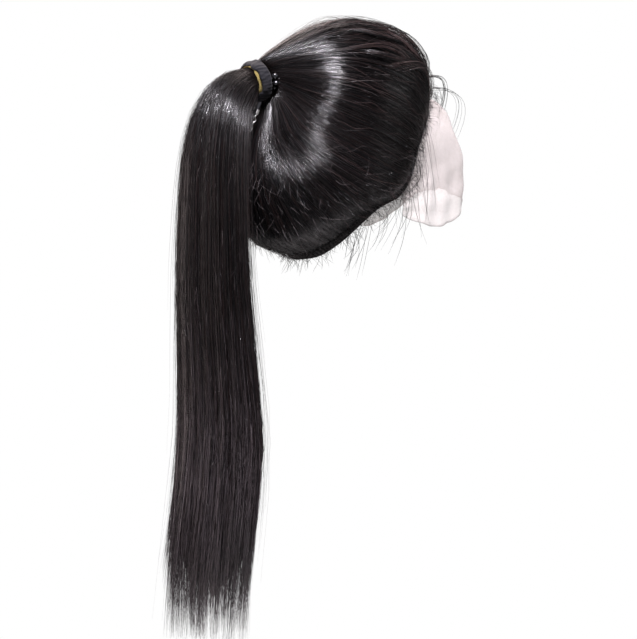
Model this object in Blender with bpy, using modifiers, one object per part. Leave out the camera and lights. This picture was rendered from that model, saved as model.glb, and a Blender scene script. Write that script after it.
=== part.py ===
"""Lace front wig, with its hair combed back and tied in a high ponytail.

Metres, +Z up. The wearer faces -Y, and +X is the wearer's left. The origin is the
point inside the cap that rests on the top of the head.
"""

import math

import bmesh
import bpy
from mathutils import Vector

# The head that the cap fits: half-lengths from its centre, on the inside of the cap.
HEAD_FRONT = 0.094
HEAD_BACK = 0.094
HEAD_SIDE = 0.075
HEAD_TOP = 0.098
HEAD_BOTTOM = 0.170

CAP_DROP = 0.232  # depth of the cap's nape edge below the crown
CAP_WALL = 0.0015
FIT_GAP = 0.0004  # between pieces that lie on each other

# The hairline: angle round the head from the forehead, and depth as a share of CAP_DROP.
HAIRLINE = (
    {"angle": 0, "depth": 0.266},
    {"angle": 16, "depth": 0.280},
    {"angle": 27, "depth": 0.318},
    {"angle": 38, "depth": 0.375},
    {"angle": 49, "depth": 0.455},
    {"angle": 56, "depth": 0.530},
    {"angle": 60, "depth": 0.620},
    {"angle": 66, "depth": 0.688},
    {"angle": 74, "depth": 0.728},
    {"angle": 95, "depth": 0.780},
    {"angle": 110, "depth": 0.845},
    {"angle": 125, "depth": 0.910},
    {"angle": 140, "depth": 0.958},
    {"angle": 155, "depth": 0.988},
    {"angle": 180, "depth": 1.000},
)

# The tie: a gathered band round the hair, standing off the back of the crown.
TIE_RISE = math.radians(22.8)  # of its seat above the head's centre
TIE_DROOP = math.radians(15.0)  # of its axis, as the ponytail pulls it down
TIE_STAND_OFF = 0.0232  # from the head to the band's middle
NECK_RADIUS = 0.0155  # of the hair inside the band
LINING_WALL = 0.0014
BAND_WALL = 0.0026
BAND_WIDTH = 0.0138
BAND_SWELL = 0.0005  # of the gathered cloth at its middle, and its rounding at the edges
LINING_SHOWS = 0.0008  # how far the lining comes out on the ponytail's side

# The hair over the cap.
HAIR_LOFT = 0.0095
HAIR_EDGE = 0.0022  # its thickness at the hairline
NAPE_SLACK = 0.019  # more at the back, where it sags over the nape
CROWN_PUFF = 0.0040  # more over the forehead
LOCK_RIDGE = 0.0010
CROWN_LOCKS = 16
GATHERED_SHARE = 0.30  # of a flow line, that rises from the head to the band
GATHER_REACH = 0.0066  # how far the hair keeps the band's direction before it turns
GATHER_FLARE = 0.0070  # how far it swells over the band's upper side there

# The ponytail, by sections along its middle line. Depths are shares of TAIL_DROP, the
# other lengths shares of TAIL_BACK, TAIL_DEPTH and TAIL_WIDTH.
TAIL_DROP = 0.520  # from the band's end to the end of the full hair
TAIL_BACK = 0.045  # how far the tail hangs behind the band's end
TAIL_DEPTH = 0.036  # half its greatest size, front to back
TAIL_WIDTH = 0.050  # half its greatest size, side to side
TAIL = (
    {"drop": 0.012, "back": 0.30, "depth": 0.55, "width": 0.40},
    {"drop": 0.036, "back": 0.56, "depth": 0.64, "width": 0.48},
    {"drop": 0.070, "back": 0.755, "depth": 0.71, "width": 0.56},
    {"drop": 0.112, "back": 0.885, "depth": 0.75, "width": 0.64},
    {"drop": 0.173, "back": 0.965, "depth": 0.77, "width": 0.70},
    {"drop": 0.288, "back": 1.00, "depth": 0.80, "width": 0.77},
    {"drop": 0.380, "back": 1.00, "depth": 0.83, "width": 0.81},
    {"drop": 0.510, "back": 0.92, "depth": 0.88, "width": 0.88},
    {"drop": 0.610, "back": 0.85, "depth": 0.93, "width": 0.94},
    {"drop": 0.706, "back": 0.82, "depth": 1.00, "width": 1.00},
    {"drop": 0.838, "back": 1.00, "depth": 0.98, "width": 1.00},
    {"drop": 0.930, "back": 1.12, "depth": 0.82, "width": 0.85},
    {"drop": 1.000, "back": 1.10, "depth": 0.58, "width": 0.60},
)
TAIL_LOCKS = 12
TAIL_RIDGE = 0.0022
TIP_LENGTH = 0.046  # of the longest pointed lock below the full hair
TIP_ROOT = 0.090  # of each pointed lock inside the full hair
TIP_RADIUS = 0.0115
TIP_LOCKS = (
    {"turn": 0.03, "out": 0.62, "length": 0.75},
    {"turn": 0.16, "out": 0.66, "length": 0.95},
    {"turn": 0.29, "out": 0.60, "length": 0.70},
    {"turn": 0.43, "out": 0.68, "length": 1.00},
    {"turn": 0.58, "out": 0.62, "length": 0.80},
    {"turn": 0.71, "out": 0.66, "length": 0.60},
    {"turn": 0.86, "out": 0.60, "length": 0.90},
    {"turn": 0.50, "out": 0.10, "length": 0.85},
)

# The lace in front of the hairline, by sections on the wearer's right; the left mirrors
# them. Each gives the flow line that it runs on from, and its free edge as shares of
# LACE_REACH forward, LACE_SIDE sideways and LACE_DROP below the crown. Where it stands,
# the sheet leaves the hairline forwards; elsewhere it lies on along the head.
LACE_WALL = 0.0010
LACE_SEAM = 0.0006  # from the cap's edge to the lace
LACE_REACH = 0.122
LACE_SIDE = 0.066
LACE_DROP = 0.200
LACE_BULGE = 0.42  # how far the sheet runs out before it falls, as a share of its width
LACE = (
    {"turn": 0.000, "forward": 1.00, "side": 0.00, "drop": 0.80, "stand": 1.00},
    {"turn": 0.062, "forward": 0.99, "side": 0.36, "drop": 0.82, "stand": 1.00},
    {"turn": 0.125, "forward": 0.95, "side": 0.72, "drop": 0.87, "stand": 0.90},
    {"turn": 0.187, "forward": 0.82, "side": 0.93, "drop": 0.96, "stand": 0.55},
    {"turn": 0.250, "forward": 0.60, "side": 1.00, "drop": 1.00, "stand": 0.25},
    {"turn": 0.312, "forward": 0.38, "side": 1.03, "drop": 0.98, "stand": 0.12},
    {"turn": 0.360, "forward": 0.20, "side": 1.05, "drop": 0.94, "stand": 0.10},
)

# The band's trim: a ribbon tab with a crimp, a ring and links, then beads at its head side.
TAB_TURN = 0.44  # where it hangs from the band, clockwise from the top seen from behind
TAB_ALONG = 0.0050  # from the band's middle towards the ponytail
TAB_LENGTH = 0.0080
TAB_WIDTH = 0.0060
TAB_WALL = 0.0012
TAB_LEAN = math.radians(24)  # of the hanging end, along the ponytail's underside
CRIMP_LENGTH = 0.0055
CRIMP_WALL = 0.0008
EYE_RADIUS = 0.0020  # of the crimp's eye
RING_RADIUS = 0.0030
LINK_RADIUS = 0.0024
LINK_STRETCH = 1.35
WIRE_RADIUS = 0.00055
BEAD_SLANT = math.radians(35)  # towards the head, from the band's edge to a bead's middle
BEADS = (
    {"turn": 0.235, "radius": 0.0030},
    {"turn": 0.285, "radius": 0.0027},
    {"turn": 0.325, "radius": 0.0015},
)

# How finely the solids are faceted.
TURNS = 64
SEAT_ROWS = 8
TAIL_TURNS = 48
TAIL_SECTIONS = 22
TAIL_CROWDING = 1.55  # how much closer the sections lie in the bend at its top
LACE_ROWS = 7
BAND_STEPS = 40
RING_SIDES = 6
RING_STEPS = 14
BEAD_TURNS = 12
BEAD_ROWS = 8

HEAD_CENTRE = Vector((0, 0, -HEAD_TOP))
HAIR_SEAT = CAP_WALL + FIT_GAP
TIE_SEAT = Vector((0, math.cos(TIE_RISE), math.sin(TIE_RISE)))
TIE_AXIS = Vector((0, math.cos(TIE_DROOP), -math.sin(TIE_DROOP)))  # towards the ponytail
LINING_RADIUS = NECK_RADIUS + FIT_GAP
BAND_RADIUS = LINING_RADIUS + LINING_WALL + FIT_GAP


def mix(a, b, share):
    return a + (b - a) * share


def smooth(share):
    share = min(1.0, max(0.0, share))
    return share * share * (3 - 2 * share)


def from_table(rows, key, at, column):
    """Reads a column of a table at a place between its rows, on a smooth curve."""
    last = len(rows) - 1
    right = next((i for i in range(1, last) if rows[i][key] >= at), last)
    left = right - 1
    span = rows[right][key] - rows[left][key]
    share = (at - rows[left][key]) / span

    def slope(i):
        low, high = rows[max(i - 1, 0)], rows[min(i + 1, last)]
        return (high[column] - low[column]) / (high[key] - low[key])

    start, end = rows[left][column], rows[right][column]
    bend = slope(left) * span, slope(right) * span
    square, cube = share**2, share**3
    return (
        (2 * cube - 3 * square + 1) * start
        + (cube - 2 * square + share) * bend[0]
        + (3 * square - 2 * cube) * end
        + (cube - square) * bend[1]
    )


# The head and the lines that the hair follows over it.


def head_point(direction, lift=0.0):
    """The point of the head in a direction from its centre, lifted off along the surface's normal."""
    axes = (
        HEAD_SIDE,
        HEAD_FRONT if direction.y < 0 else HEAD_BACK,
        HEAD_TOP if direction.z > 0 else HEAD_BOTTOM,
    )
    size = math.sqrt(sum((d / a) ** 2 for d, a in zip(direction, axes)))
    on_head = direction / size
    normal = Vector(tuple(p / a**2 for p, a in zip(on_head, axes))).normalized()
    return HEAD_CENTRE + on_head + normal * lift


def hairline_depth(point):
    angle = abs(math.degrees(math.atan2(point.x, -point.y)))
    return CAP_DROP * from_table(HAIRLINE, "angle", angle, "depth")


def flow_direction(turn, angle):
    """From the head's centre: angle away from the tie's seat, along the flow line at turn.
    Turn 0 runs over the crown, 0.25 over the wearer's right, and 0.5 down to the nape."""
    over_crown = Vector((0, -math.sin(TIE_RISE), math.cos(TIE_RISE)))
    to_right = Vector((-1, 0, 0))
    around = 2 * math.pi * turn
    heading = over_crown * math.cos(around) + to_right * math.sin(around)
    return TIE_SEAT * math.cos(angle) + heading * math.sin(angle)


def hairline_angle(turn):
    """How far from the tie's seat the flow line at turn meets the hairline."""
    inside, outside = math.radians(30), math.radians(175)
    for _ in range(40):
        middle = (inside + outside) / 2
        point = head_point(flow_direction(turn, middle))
        if -point.z < hairline_depth(point):
            inside = middle
        else:
            outside = middle
    return inside


HAIRLINE_ANGLES = [hairline_angle(i / TURNS) for i in range(TURNS)]


def on_flow(turn, share, lift):
    """A point over the head at a share of the flow line from the tie to the hairline."""
    angle = HAIRLINE_ANGLES[round(turn * TURNS) % TURNS]
    return head_point(flow_direction(turn, angle * share), lift)


def band_point(turn, radius, along):
    """A point round the tie's axis, along from the band's middle towards the ponytail."""
    middle = head_point(TIE_SEAT, TIE_STAND_OFF)
    up = Vector((0, math.sin(TIE_DROOP), math.cos(TIE_DROOP)))
    around = 2 * math.pi * turn
    spoke = up * math.cos(around) + Vector((-1, 0, 0)) * math.sin(around)
    return middle + spoke * radius + TIE_AXIS * along


# Builders.


def clear_scene():
    for obj in list(bpy.data.objects):
        bpy.data.objects.remove(obj)


def new_collection(name):
    collection = bpy.data.collections.new(name)
    bpy.context.scene.collection.children.link(collection)
    return collection


def material(name, colour, roughness, metallic=0.0, alpha=1.0):
    made = bpy.data.materials.new(name)
    made.use_nodes = True
    shader = made.node_tree.nodes["Principled BSDF"]
    shader.inputs["Base Color"].default_value = (*colour, 1.0)
    shader.inputs["Roughness"].default_value = roughness
    shader.inputs["Metallic"].default_value = metallic
    shader.inputs["Alpha"].default_value = alpha
    return made


def finish_mesh(bm, name, collection, surface):
    """Makes an object of a bmesh, with its faces pointing out and shaded smooth."""
    bmesh.ops.recalc_face_normals(bm, faces=bm.faces)
    if bm.calc_volume(signed=True) < 0:
        bmesh.ops.reverse_faces(bm, faces=bm.faces)
    mesh = bpy.data.meshes.new(name)
    bm.to_mesh(mesh)
    bm.free()
    mesh.shade_smooth()
    mesh.set_sharp_from_angle(angle=math.radians(50))
    obj = bpy.data.objects.new(name, mesh)
    collection.objects.link(obj)
    obj.data.materials.append(surface)
    return obj


def shaped_sphere(turns, rows, place):
    """A UV sphere whose vertices place(row, turn) puts: row 0 and the last row are its poles."""
    bm = bmesh.new()
    bmesh.ops.create_uvsphere(bm, u_segments=turns, v_segments=rows, radius=1)
    for vert in bm.verts:
        row = round(math.acos(max(-1.0, min(1.0, vert.co.z))) / math.pi * rows)
        turn = round(math.atan2(vert.co.y, vert.co.x) / (2 * math.pi) * turns) % turns / turns
        vert.co = place(row, turn)
    bmesh.ops.triangulate(bm, faces=bm.faces, quad_method="SHORT_EDGE")
    return bm


def shaped_grid(columns, rows, place):
    """A grid of columns by rows faces whose vertices place(column, row) puts."""
    bm = bmesh.new()
    bmesh.ops.create_grid(bm, x_segments=columns, y_segments=rows, size=0.5)
    for vert in bm.verts:
        column, row = round((vert.co.x + 0.5) * columns), round((vert.co.y + 0.5) * rows)
        vert.co = place(column, row)
    return bm


def turned_band(name, profile, collection, surface):
    """A ring round the tie's axis. Its profile runs down its outer side first, as (radius, along)."""
    bm = bmesh.new()
    verts = [bm.verts.new((radius, 0, along)) for radius, along in profile]
    for first, second in zip(verts, verts[1:] + verts[:1]):
        bm.edges.new((first, second))
    mesh = bpy.data.meshes.new(name)
    bm.to_mesh(mesh)
    bm.free()
    obj = bpy.data.objects.new(name, mesh)
    collection.objects.link(obj)
    obj.data.materials.append(surface)
    screw = obj.modifiers.new("turned", "SCREW")
    screw.steps = screw.render_steps = BAND_STEPS
    screw.use_merge_vertices = True
    screw.merge_threshold = 0.00001
    screw.use_smooth_shade = True
    obj.location = band_point(0, 0, 0)
    obj.rotation_mode = "QUATERNION"
    obj.rotation_quaternion = TIE_AXIS.to_track_quat("Z", "Y")
    return obj


def ring(name, centre, normal, radius, wire, collection, surface, stretch=1.0, long_axis=None):
    """A closed wire ring about normal, stretched along long_axis where it is a link."""
    bpy.ops.mesh.primitive_torus_add(
        major_segments=RING_STEPS, minor_segments=RING_SIDES, major_radius=radius, minor_radius=wire
    )
    obj = bpy.context.object
    obj.name = obj.data.name = name
    for vert in obj.data.vertices:
        vert.co.x += math.copysign((stretch - 1) * radius, vert.co.x)
    z_axis = normal.normalized()
    x_axis = (long_axis or z_axis.orthogonal()).normalized()
    x_axis = (x_axis - z_axis * x_axis.dot(z_axis)).normalized()
    y_axis = z_axis.cross(x_axis)
    turned = [tuple(axis[i] for axis in (x_axis, y_axis, z_axis)) for i in range(3)]
    for vert in obj.data.vertices:
        vert.co = Vector(tuple(sum(r * c for r, c in zip(row, vert.co)) for row in turned))
    obj.location = centre
    for owner in list(obj.users_collection):
        owner.objects.unlink(obj)
    collection.objects.link(obj)
    obj.data.materials.append(surface)
    obj.data.shade_smooth()
    return obj


# The pieces.


def build_cap(collection, surface):
    """The net cap: a hollow dome from the crown down to the hairline."""

    def place(row, turn):
        if row <= SEAT_ROWS:
            return on_flow(turn, row / SEAT_ROWS, CAP_WALL)
        return on_flow(turn, (2 * SEAT_ROWS + 1 - row) / SEAT_ROWS, 0.0)

    return finish_mesh(
        shaped_sphere(TURNS, 2 * SEAT_ROWS + 1, place), "cap", collection, surface
    )


def crown_ridge(turn, share):
    """The combed locks, strongest midway along a flow line."""
    waves = math.cos(2 * math.pi * (CROWN_LOCKS * turn))
    return LOCK_RIDGE * waves * math.sin(math.pi * min(1.0, share * 1.05)) ** 0.7


def hair_thickness(turn, share):
    """How thick the hair lies over the cap. It thins slowly to the hairline at the sides."""
    backward = math.cos(2 * math.pi * (turn - 0.5))
    towards_nape = smooth((backward - 0.30) / 0.55)
    towards_front = smooth((-backward - 0.35) / 0.60)
    sag = smooth((share - 0.18) / 0.50) * smooth((1.0 - share) / 0.16)
    puff = smooth((share - 0.45) / 0.35) * smooth((1.0 - share) / 0.15)
    thinning = mix(0.12, 0.42, 1.0 - backward**2)
    thick = mix(HAIR_EDGE, HAIR_LOFT, smooth((1.0 - share) / thinning))
    return thick + NAPE_SLACK * towards_nape * sag + CROWN_PUFF * towards_front * puff


def over_cap(turn, share):
    """The outside of the hair where it lies on the cap."""
    lift = HAIR_SEAT + hair_thickness(turn, share) + crown_ridge(turn, share)
    return on_flow(turn, share, lift)


def crown_surface(turn, share):
    """The outside of the hair: out of the band in a bend to the head, then over the cap."""
    if share >= GATHERED_SHARE:
        return over_cap(turn, share)
    bend = share / GATHERED_SHARE
    flare = GATHER_FLARE * (1 + math.cos(2 * math.pi * turn)) / 2
    start = band_point(turn, NECK_RADIUS, -BAND_WIDTH / 2)
    turning = band_point(turn, NECK_RADIUS + flare, -BAND_WIDTH / 2 - GATHER_REACH)
    end = over_cap(turn, GATHERED_SHARE)
    return start.lerp(turning, bend).lerp(turning.lerp(end, bend), bend)


def build_crown_hair(collection, surface):
    """The hair from the hairline to the tie, in ridged locks, as one shell on the cap."""
    outer = (0.0, 0.07, 0.14, 0.22, 0.30, 0.40, 0.51, 0.62, 0.73, 0.83, 0.90, 0.955, 1.0)
    stub = -FIT_GAP / 2

    def place(row, turn):
        if row == 0:
            return band_point(0, 0, stub)
        if row == 1:
            return band_point(turn, NECK_RADIUS, stub)
        if row - 2 < len(outer):
            return crown_surface(turn, outer[row - 2])
        seat_row = 2 + len(outer) + SEAT_ROWS - row
        return on_flow(turn, seat_row / SEAT_ROWS, HAIR_SEAT)

    rows = 2 + len(outer) + SEAT_ROWS
    return finish_mesh(
        shaped_sphere(TURNS, rows, place), "crown_hair", collection, surface
    )


def tail_frame(drop):
    """Middle, half-depth and half-width of the ponytail at a share of its drop."""
    band = band_point(0, 0, BAND_WIDTH / 2)
    back = from_table(TAIL, "drop", drop, "back") * TAIL_BACK
    depth = from_table(TAIL, "drop", drop, "depth") * TAIL_DEPTH
    width = from_table(TAIL, "drop", drop, "width") * TAIL_WIDTH
    return band + Vector((0, back, -drop * TAIL_DROP)), depth, width


def tail_section(drop, turn):
    """A point on the ponytail's outline at a share of its drop. Its sections lean with the bend."""
    middle, depth, width = tail_frame(drop)
    before, _, _ = tail_frame(max(TAIL[0]["drop"], drop - 0.01))
    after, _, _ = tail_frame(min(1.0, drop + 0.01))
    along = (after - before).normalized()
    outward = Vector((-1, 0, 0)).cross(along).normalized()
    if outward.y < 0:
        outward = -outward
    around = 2 * math.pi * turn
    ridge = 1 + (TAIL_RIDGE / TAIL_DEPTH) * math.cos(2 * math.pi * TAIL_LOCKS * turn)
    return (
        middle
        + outward * math.cos(around) * depth * ridge
        + Vector((-1, 0, 0)) * math.sin(around) * width * ridge
    )


def build_tip_lock(spec, cutters):
    """One pointed lock that runs out of the end of the ponytail."""
    steps = 7
    length = TIP_ROOT + TIP_LENGTH * spec["length"]

    def place(row, turn):
        share = row / steps
        depth = share * length - TIP_ROOT
        drop = 1.0 + min(0.0, depth) / TAIL_DROP
        middle, deep, wide = tail_frame(min(1.0, drop))
        around = 2 * math.pi * spec["turn"]
        seat = middle + Vector((0, deep * math.cos(around), 0)) * spec["out"]
        seat += Vector((-wide * math.sin(around), 0, 0)) * spec["out"]
        seat += Vector((0, 0, -max(0.0, depth)))
        radius = TIP_RADIUS * math.sin(math.pi * min(1.0, 0.08 + share * 0.92)) ** 0.6
        if row in (0, steps):
            return seat
        spin = 2 * math.pi * turn
        return seat + Vector((math.cos(spin), math.sin(spin), 0)) * radius

    lock = finish_mesh(shaped_sphere(8, steps, place), "tip_lock", cutters, None)
    lock.hide_render = True
    lock.display_type = "WIRE"
    return lock


def build_ponytail(collection, cutters, surface):
    """The ponytail: ridged locks from the band down, with pointed locks fused to its end."""
    first = TAIL[0]["drop"]
    last = TAIL_SECTIONS - 1
    drops = [first + (1.0 - first) * (i / last) ** TAIL_CROWDING for i in range(TAIL_SECTIONS)]
    stub = FIT_GAP / 2
    neck_end = BAND_WIDTH / 2 + LINING_SHOWS

    def place(row, turn):
        if row == 0:
            return band_point(0, 0, stub)
        if row == 1:
            return band_point(turn, NECK_RADIUS, stub)
        if row == 2:
            return band_point(turn, NECK_RADIUS, neck_end)
        if row - 3 < len(drops):
            return tail_section(drops[row - 3], turn)
        return tail_frame(1.0)[0] + Vector((0, 0, -TIP_LENGTH * 0.35))

    rows = 3 + len(drops)
    tail = finish_mesh(
        shaped_sphere(TAIL_TURNS, rows, place), "ponytail", collection, surface
    )
    for spec in TIP_LOCKS:
        join = tail.modifiers.new("tip", "BOOLEAN")
        join.operation = "UNION"
        join.object = build_tip_lock(spec, cutters)
    return tail


def lace_point(turn, share):
    """A point of the lace at a share of the way from the hairline to its free edge."""
    root = on_flow(turn, 1.0, CAP_WALL / 2)
    onward = (root - on_flow(turn, 0.97, CAP_WALL / 2)).normalized()
    outward = (on_flow(turn, 1.0, CAP_WALL) - on_flow(turn, 1.0, 0.0)).normalized()
    column = {key: from_table(LACE, "turn", abs(turn), key) for key in LACE[0]}
    edge = Vector((
        -math.copysign(column["side"], turn) * LACE_SIDE,
        -column["forward"] * LACE_REACH,
        -column["drop"] * LACE_DROP,
    ))
    start = root + onward * LACE_SEAM
    reach = (edge - start).length * LACE_BULGE
    heading = onward * (1 - 0.6 * column["stand"]) + outward * column["stand"]
    out = start + heading.normalized() * reach
    down = edge + Vector((0, 0, reach * 0.8))
    rest = 1 - share
    return (
        start * rest**3
        + out * 3 * rest**2 * share
        + down * 3 * rest * share**2
        + edge * share**3
    )


def build_lace(collection, surface):
    """The sheer lace that runs on from the cap's front edge and hangs free."""
    side = round(LACE[-1]["turn"] * TURNS)

    def place(column, row):
        return lace_point((column - side) / TURNS, row / LACE_ROWS)

    grid = shaped_grid(2 * side, LACE_ROWS, place)
    obj = finish_mesh(grid, "lace_front", collection, surface)
    wall = obj.modifiers.new("wall", "SOLIDIFY")
    wall.thickness = LACE_WALL
    wall.offset = 0.0
    return obj


def build_band(collection, fabric, lining):
    """The dark gathered band, and the lining that shows at its ponytail edge."""
    half = BAND_WIDTH / 2
    outside = BAND_RADIUS + BAND_WALL
    turned_band(
        "tie_band",
        (
            (outside - BAND_SWELL, half),
            (outside, half - BAND_SWELL),
            (outside + BAND_SWELL, 0.0),
            (outside, BAND_SWELL - half),
            (outside - BAND_SWELL, -half),
            (BAND_RADIUS, -half),
            (BAND_RADIUS, half),
        ),
        collection,
        fabric,
    )
    turned_band(
        "tie_lining",
        (
            (LINING_RADIUS + LINING_WALL, half + LINING_SHOWS),
            (LINING_RADIUS + LINING_WALL, -half),
            (LINING_RADIUS, -half),
            (LINING_RADIUS, half + LINING_SHOWS),
        ),
        collection,
        lining,
    )


def block(name, centre, axes, sizes, collection, surface, bevel):
    """A box with rounded edges: sizes along the three axes."""
    bm = bmesh.new()
    bmesh.ops.create_cube(bm, size=1)
    for vert in bm.verts:
        vert.co = centre + sum(
            (axis * size * c for axis, size, c in zip(axes, sizes, vert.co)), Vector()
        )
    obj = finish_mesh(bm, name, collection, surface)
    edges = obj.modifiers.new("edges", "BEVEL")
    edges.width = bevel
    edges.segments = 1
    edges.limit_method = "ANGLE"
    return obj


def build_trim(collection, cutters, ribbon, silver):
    """The band's hanging end: tab, crimp with its eye, ring and two links."""
    down = Vector((0, math.sin(TAB_LEAN), -math.cos(TAB_LEAN)))
    across = Vector((1, 0, 0))
    facing = across.cross(down)
    axes = (across, facing, down)
    outside = BAND_RADIUS + BAND_WALL + BAND_SWELL
    tab_top = band_point(TAB_TURN, outside, TAB_ALONG) + down * (FIT_GAP + TAB_WALL)
    tab = tab_top + down * (TAB_LENGTH / 2)
    block("tie_tab", tab, axes, (TAB_WIDTH, TAB_WALL, TAB_LENGTH), collection, ribbon, 0.0003)
    crimp_top = tab_top + down * (TAB_LENGTH + FIT_GAP)
    crimp_size = (TAB_WIDTH + 2 * CRIMP_WALL, TAB_WALL + 2 * CRIMP_WALL, CRIMP_LENGTH)
    crimp_middle = crimp_top + down * (CRIMP_LENGTH / 2)
    crimp = block("tie_crimp", crimp_middle, axes, crimp_size, collection, silver, 0.0004)
    eye_middle = crimp_top + down * (CRIMP_LENGTH + EYE_RADIUS - WIRE_RADIUS * 0.5)
    eye = ring("crimp_eye", eye_middle, facing, EYE_RADIUS, WIRE_RADIUS, cutters, silver)
    eye.hide_render = True
    eye.display_type = "WIRE"
    join = crimp.modifiers.new("eye", "BOOLEAN")
    join.operation = "UNION"
    join.object = eye
    hold = 2 * WIRE_RADIUS + FIT_GAP
    ring_middle = eye_middle + down * (EYE_RADIUS + RING_RADIUS - hold)
    ring("tie_ring", ring_middle, across, RING_RADIUS, WIRE_RADIUS, collection, silver)
    long_half = LINK_RADIUS * LINK_STRETCH
    link_middle = ring_middle + down * (RING_RADIUS + long_half - hold)
    for index, normal in enumerate((facing, across), start=1):
        ring(
            f"tie_link_{index}", link_middle, normal, LINK_RADIUS, WIRE_RADIUS,
            collection, silver, LINK_STRETCH, down,
        )
        link_middle = link_middle + down * (2 * long_half - hold)


def build_beads(collection, surface):
    """The dark round beads of the elastic, against the band's edge on the head's side."""
    for index, bead in enumerate(BEADS, start=1):
        radius = bead["radius"]
        bpy.ops.mesh.primitive_uv_sphere_add(segments=BEAD_TURNS, ring_count=BEAD_ROWS, radius=radius)
        obj = bpy.context.object
        obj.name = obj.data.name = f"tie_bead_{index}"
        aside = BAND_RADIUS + BAND_WALL - BAND_SWELL + (radius + FIT_GAP) * math.cos(BEAD_SLANT)
        ahead = BAND_WIDTH / 2 + (radius + FIT_GAP) * math.sin(BEAD_SLANT)
        obj.location = band_point(bead["turn"], aside, -ahead)
        for owner in list(obj.users_collection):
            owner.objects.unlink(obj)
        collection.objects.link(obj)
        obj.data.materials.append(surface)
        obj.data.shade_smooth()


def main():
    clear_scene()
    wig = new_collection("lace_front_wig")
    cutters = new_collection("cutters")
    hair = material("hair", (0.012, 0.010, 0.010), 0.38)
    net = material("net", (0.020, 0.018, 0.018), 0.80)
    lace = material("lace", (0.62, 0.43, 0.36), 0.75, alpha=0.55)
    fabric = material("fabric", (0.022, 0.021, 0.034), 0.85)
    lining = material("lining", (0.62, 0.47, 0.10), 0.60)
    silver = material("silver", (0.72, 0.71, 0.69), 0.22, metallic=1.0)
    beads = material("beads", (0.010, 0.010, 0.012), 0.10)
    build_cap(wig, net)
    build_crown_hair(wig, hair)
    build_ponytail(wig, cutters, hair)
    build_lace(wig, lace)
    build_band(wig, fabric, lining)
    build_trim(wig, cutters, fabric, silver)
    build_beads(wig, beads)


main()
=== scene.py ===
"""The looks of the lace front wig: hair, net, lace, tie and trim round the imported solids.

Metres, +Z up, in the frame of the solids: the wearer faces -Y, +X is the wearer's left,
and the origin is the point inside the cap that rests on the top of the head.
"""

import math

import bpy
import numpy as np
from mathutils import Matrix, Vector


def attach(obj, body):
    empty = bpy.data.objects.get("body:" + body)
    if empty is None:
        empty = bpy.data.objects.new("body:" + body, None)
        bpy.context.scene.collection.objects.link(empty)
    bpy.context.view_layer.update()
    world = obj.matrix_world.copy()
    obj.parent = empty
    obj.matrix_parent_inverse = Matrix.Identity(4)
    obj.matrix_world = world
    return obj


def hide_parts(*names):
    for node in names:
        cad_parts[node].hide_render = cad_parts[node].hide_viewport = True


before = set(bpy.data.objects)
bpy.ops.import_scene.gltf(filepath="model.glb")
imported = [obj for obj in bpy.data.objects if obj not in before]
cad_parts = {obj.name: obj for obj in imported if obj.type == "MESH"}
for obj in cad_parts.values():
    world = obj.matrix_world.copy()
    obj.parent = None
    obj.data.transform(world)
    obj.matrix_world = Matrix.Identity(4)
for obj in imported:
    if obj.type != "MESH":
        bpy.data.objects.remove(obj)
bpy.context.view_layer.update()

# The sizes of the solids, as their source gives them.
HEAD_FRONT = 0.094
HEAD_BACK = 0.094
HEAD_SIDE = 0.075
HEAD_TOP = 0.098
HEAD_BOTTOM = 0.170
CAP_DROP = 0.232
CAP_WALL = 0.0015
FIT_GAP = 0.0004
HAIRLINE = {
    "angle": (0, 16, 27, 38, 49, 56, 60, 66, 74, 95, 110, 125, 140, 155, 180),
    "depth": (
        0.266, 0.280, 0.318, 0.375, 0.455, 0.530, 0.620, 0.688,
        0.728, 0.780, 0.845, 0.910, 0.958, 0.988, 1.000,
    ),
}
TIE_RISE = math.radians(22.8)
TIE_DROOP = math.radians(15.0)
TIE_STAND_OFF = 0.0232
NECK_RADIUS = 0.0155
LINING_WALL = 0.0014
BAND_WALL = 0.0026
BAND_WIDTH = 0.0138
BAND_SWELL = 0.0005
LINING_SHOWS = 0.0008
HAIR_LOFT = 0.0095
HAIR_EDGE = 0.0022
NAPE_SLACK = 0.019
CROWN_PUFF = 0.0040
LOCK_RIDGE = 0.0010
CROWN_LOCKS = 16
GATHERED_SHARE = 0.30
GATHER_REACH = 0.0066
GATHER_FLARE = 0.0070
TAIL_DROP = 0.520
TAIL_BACK = 0.045
TAIL_DEPTH = 0.036
TAIL_WIDTH = 0.050
TAIL = {
    "drop": (0.012, 0.036, 0.070, 0.112, 0.173, 0.288, 0.380, 0.510, 0.610, 0.706, 0.838, 0.930, 1.000),
    "back": (0.300, 0.560, 0.755, 0.885, 0.965, 1.000, 1.000, 0.920, 0.850, 0.820, 1.000, 1.120, 1.100),
    "depth": (0.55, 0.64, 0.71, 0.75, 0.77, 0.80, 0.83, 0.88, 0.93, 1.00, 0.98, 0.82, 0.58),
    "width": (0.40, 0.48, 0.56, 0.64, 0.70, 0.77, 0.81, 0.88, 0.94, 1.00, 1.00, 0.85, 0.60),
}
TAIL_RIDGE = 0.0022
TAIL_LOCKS = 12
TIP_LENGTH = 0.046
LACE_SEAM = 0.0006
LACE_REACH = 0.122
LACE_SIDE = 0.066
LACE_DROP = 0.200
LACE_BULGE = 0.42
LACE = {
    "turn": (0.000, 0.062, 0.125, 0.187, 0.250, 0.312, 0.360),
    "forward": (1.00, 0.99, 0.95, 0.82, 0.60, 0.38, 0.20),
    "side": (0.00, 0.36, 0.72, 0.93, 1.00, 1.03, 1.05),
    "drop": (0.80, 0.82, 0.87, 0.96, 1.00, 0.98, 0.94),
    "stand": (1.00, 1.00, 0.90, 0.55, 0.25, 0.12, 0.10),
}
TAB_TURN = 0.44
TAB_ALONG = 0.0050
TAB_LENGTH = 0.0080
TAB_WALL = 0.0012
TAB_LEAN = math.radians(24)
CRIMP_LENGTH = 0.0055
EYE_RADIUS = 0.0020
RING_RADIUS = 0.0030
LINK_RADIUS = 0.0024
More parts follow.
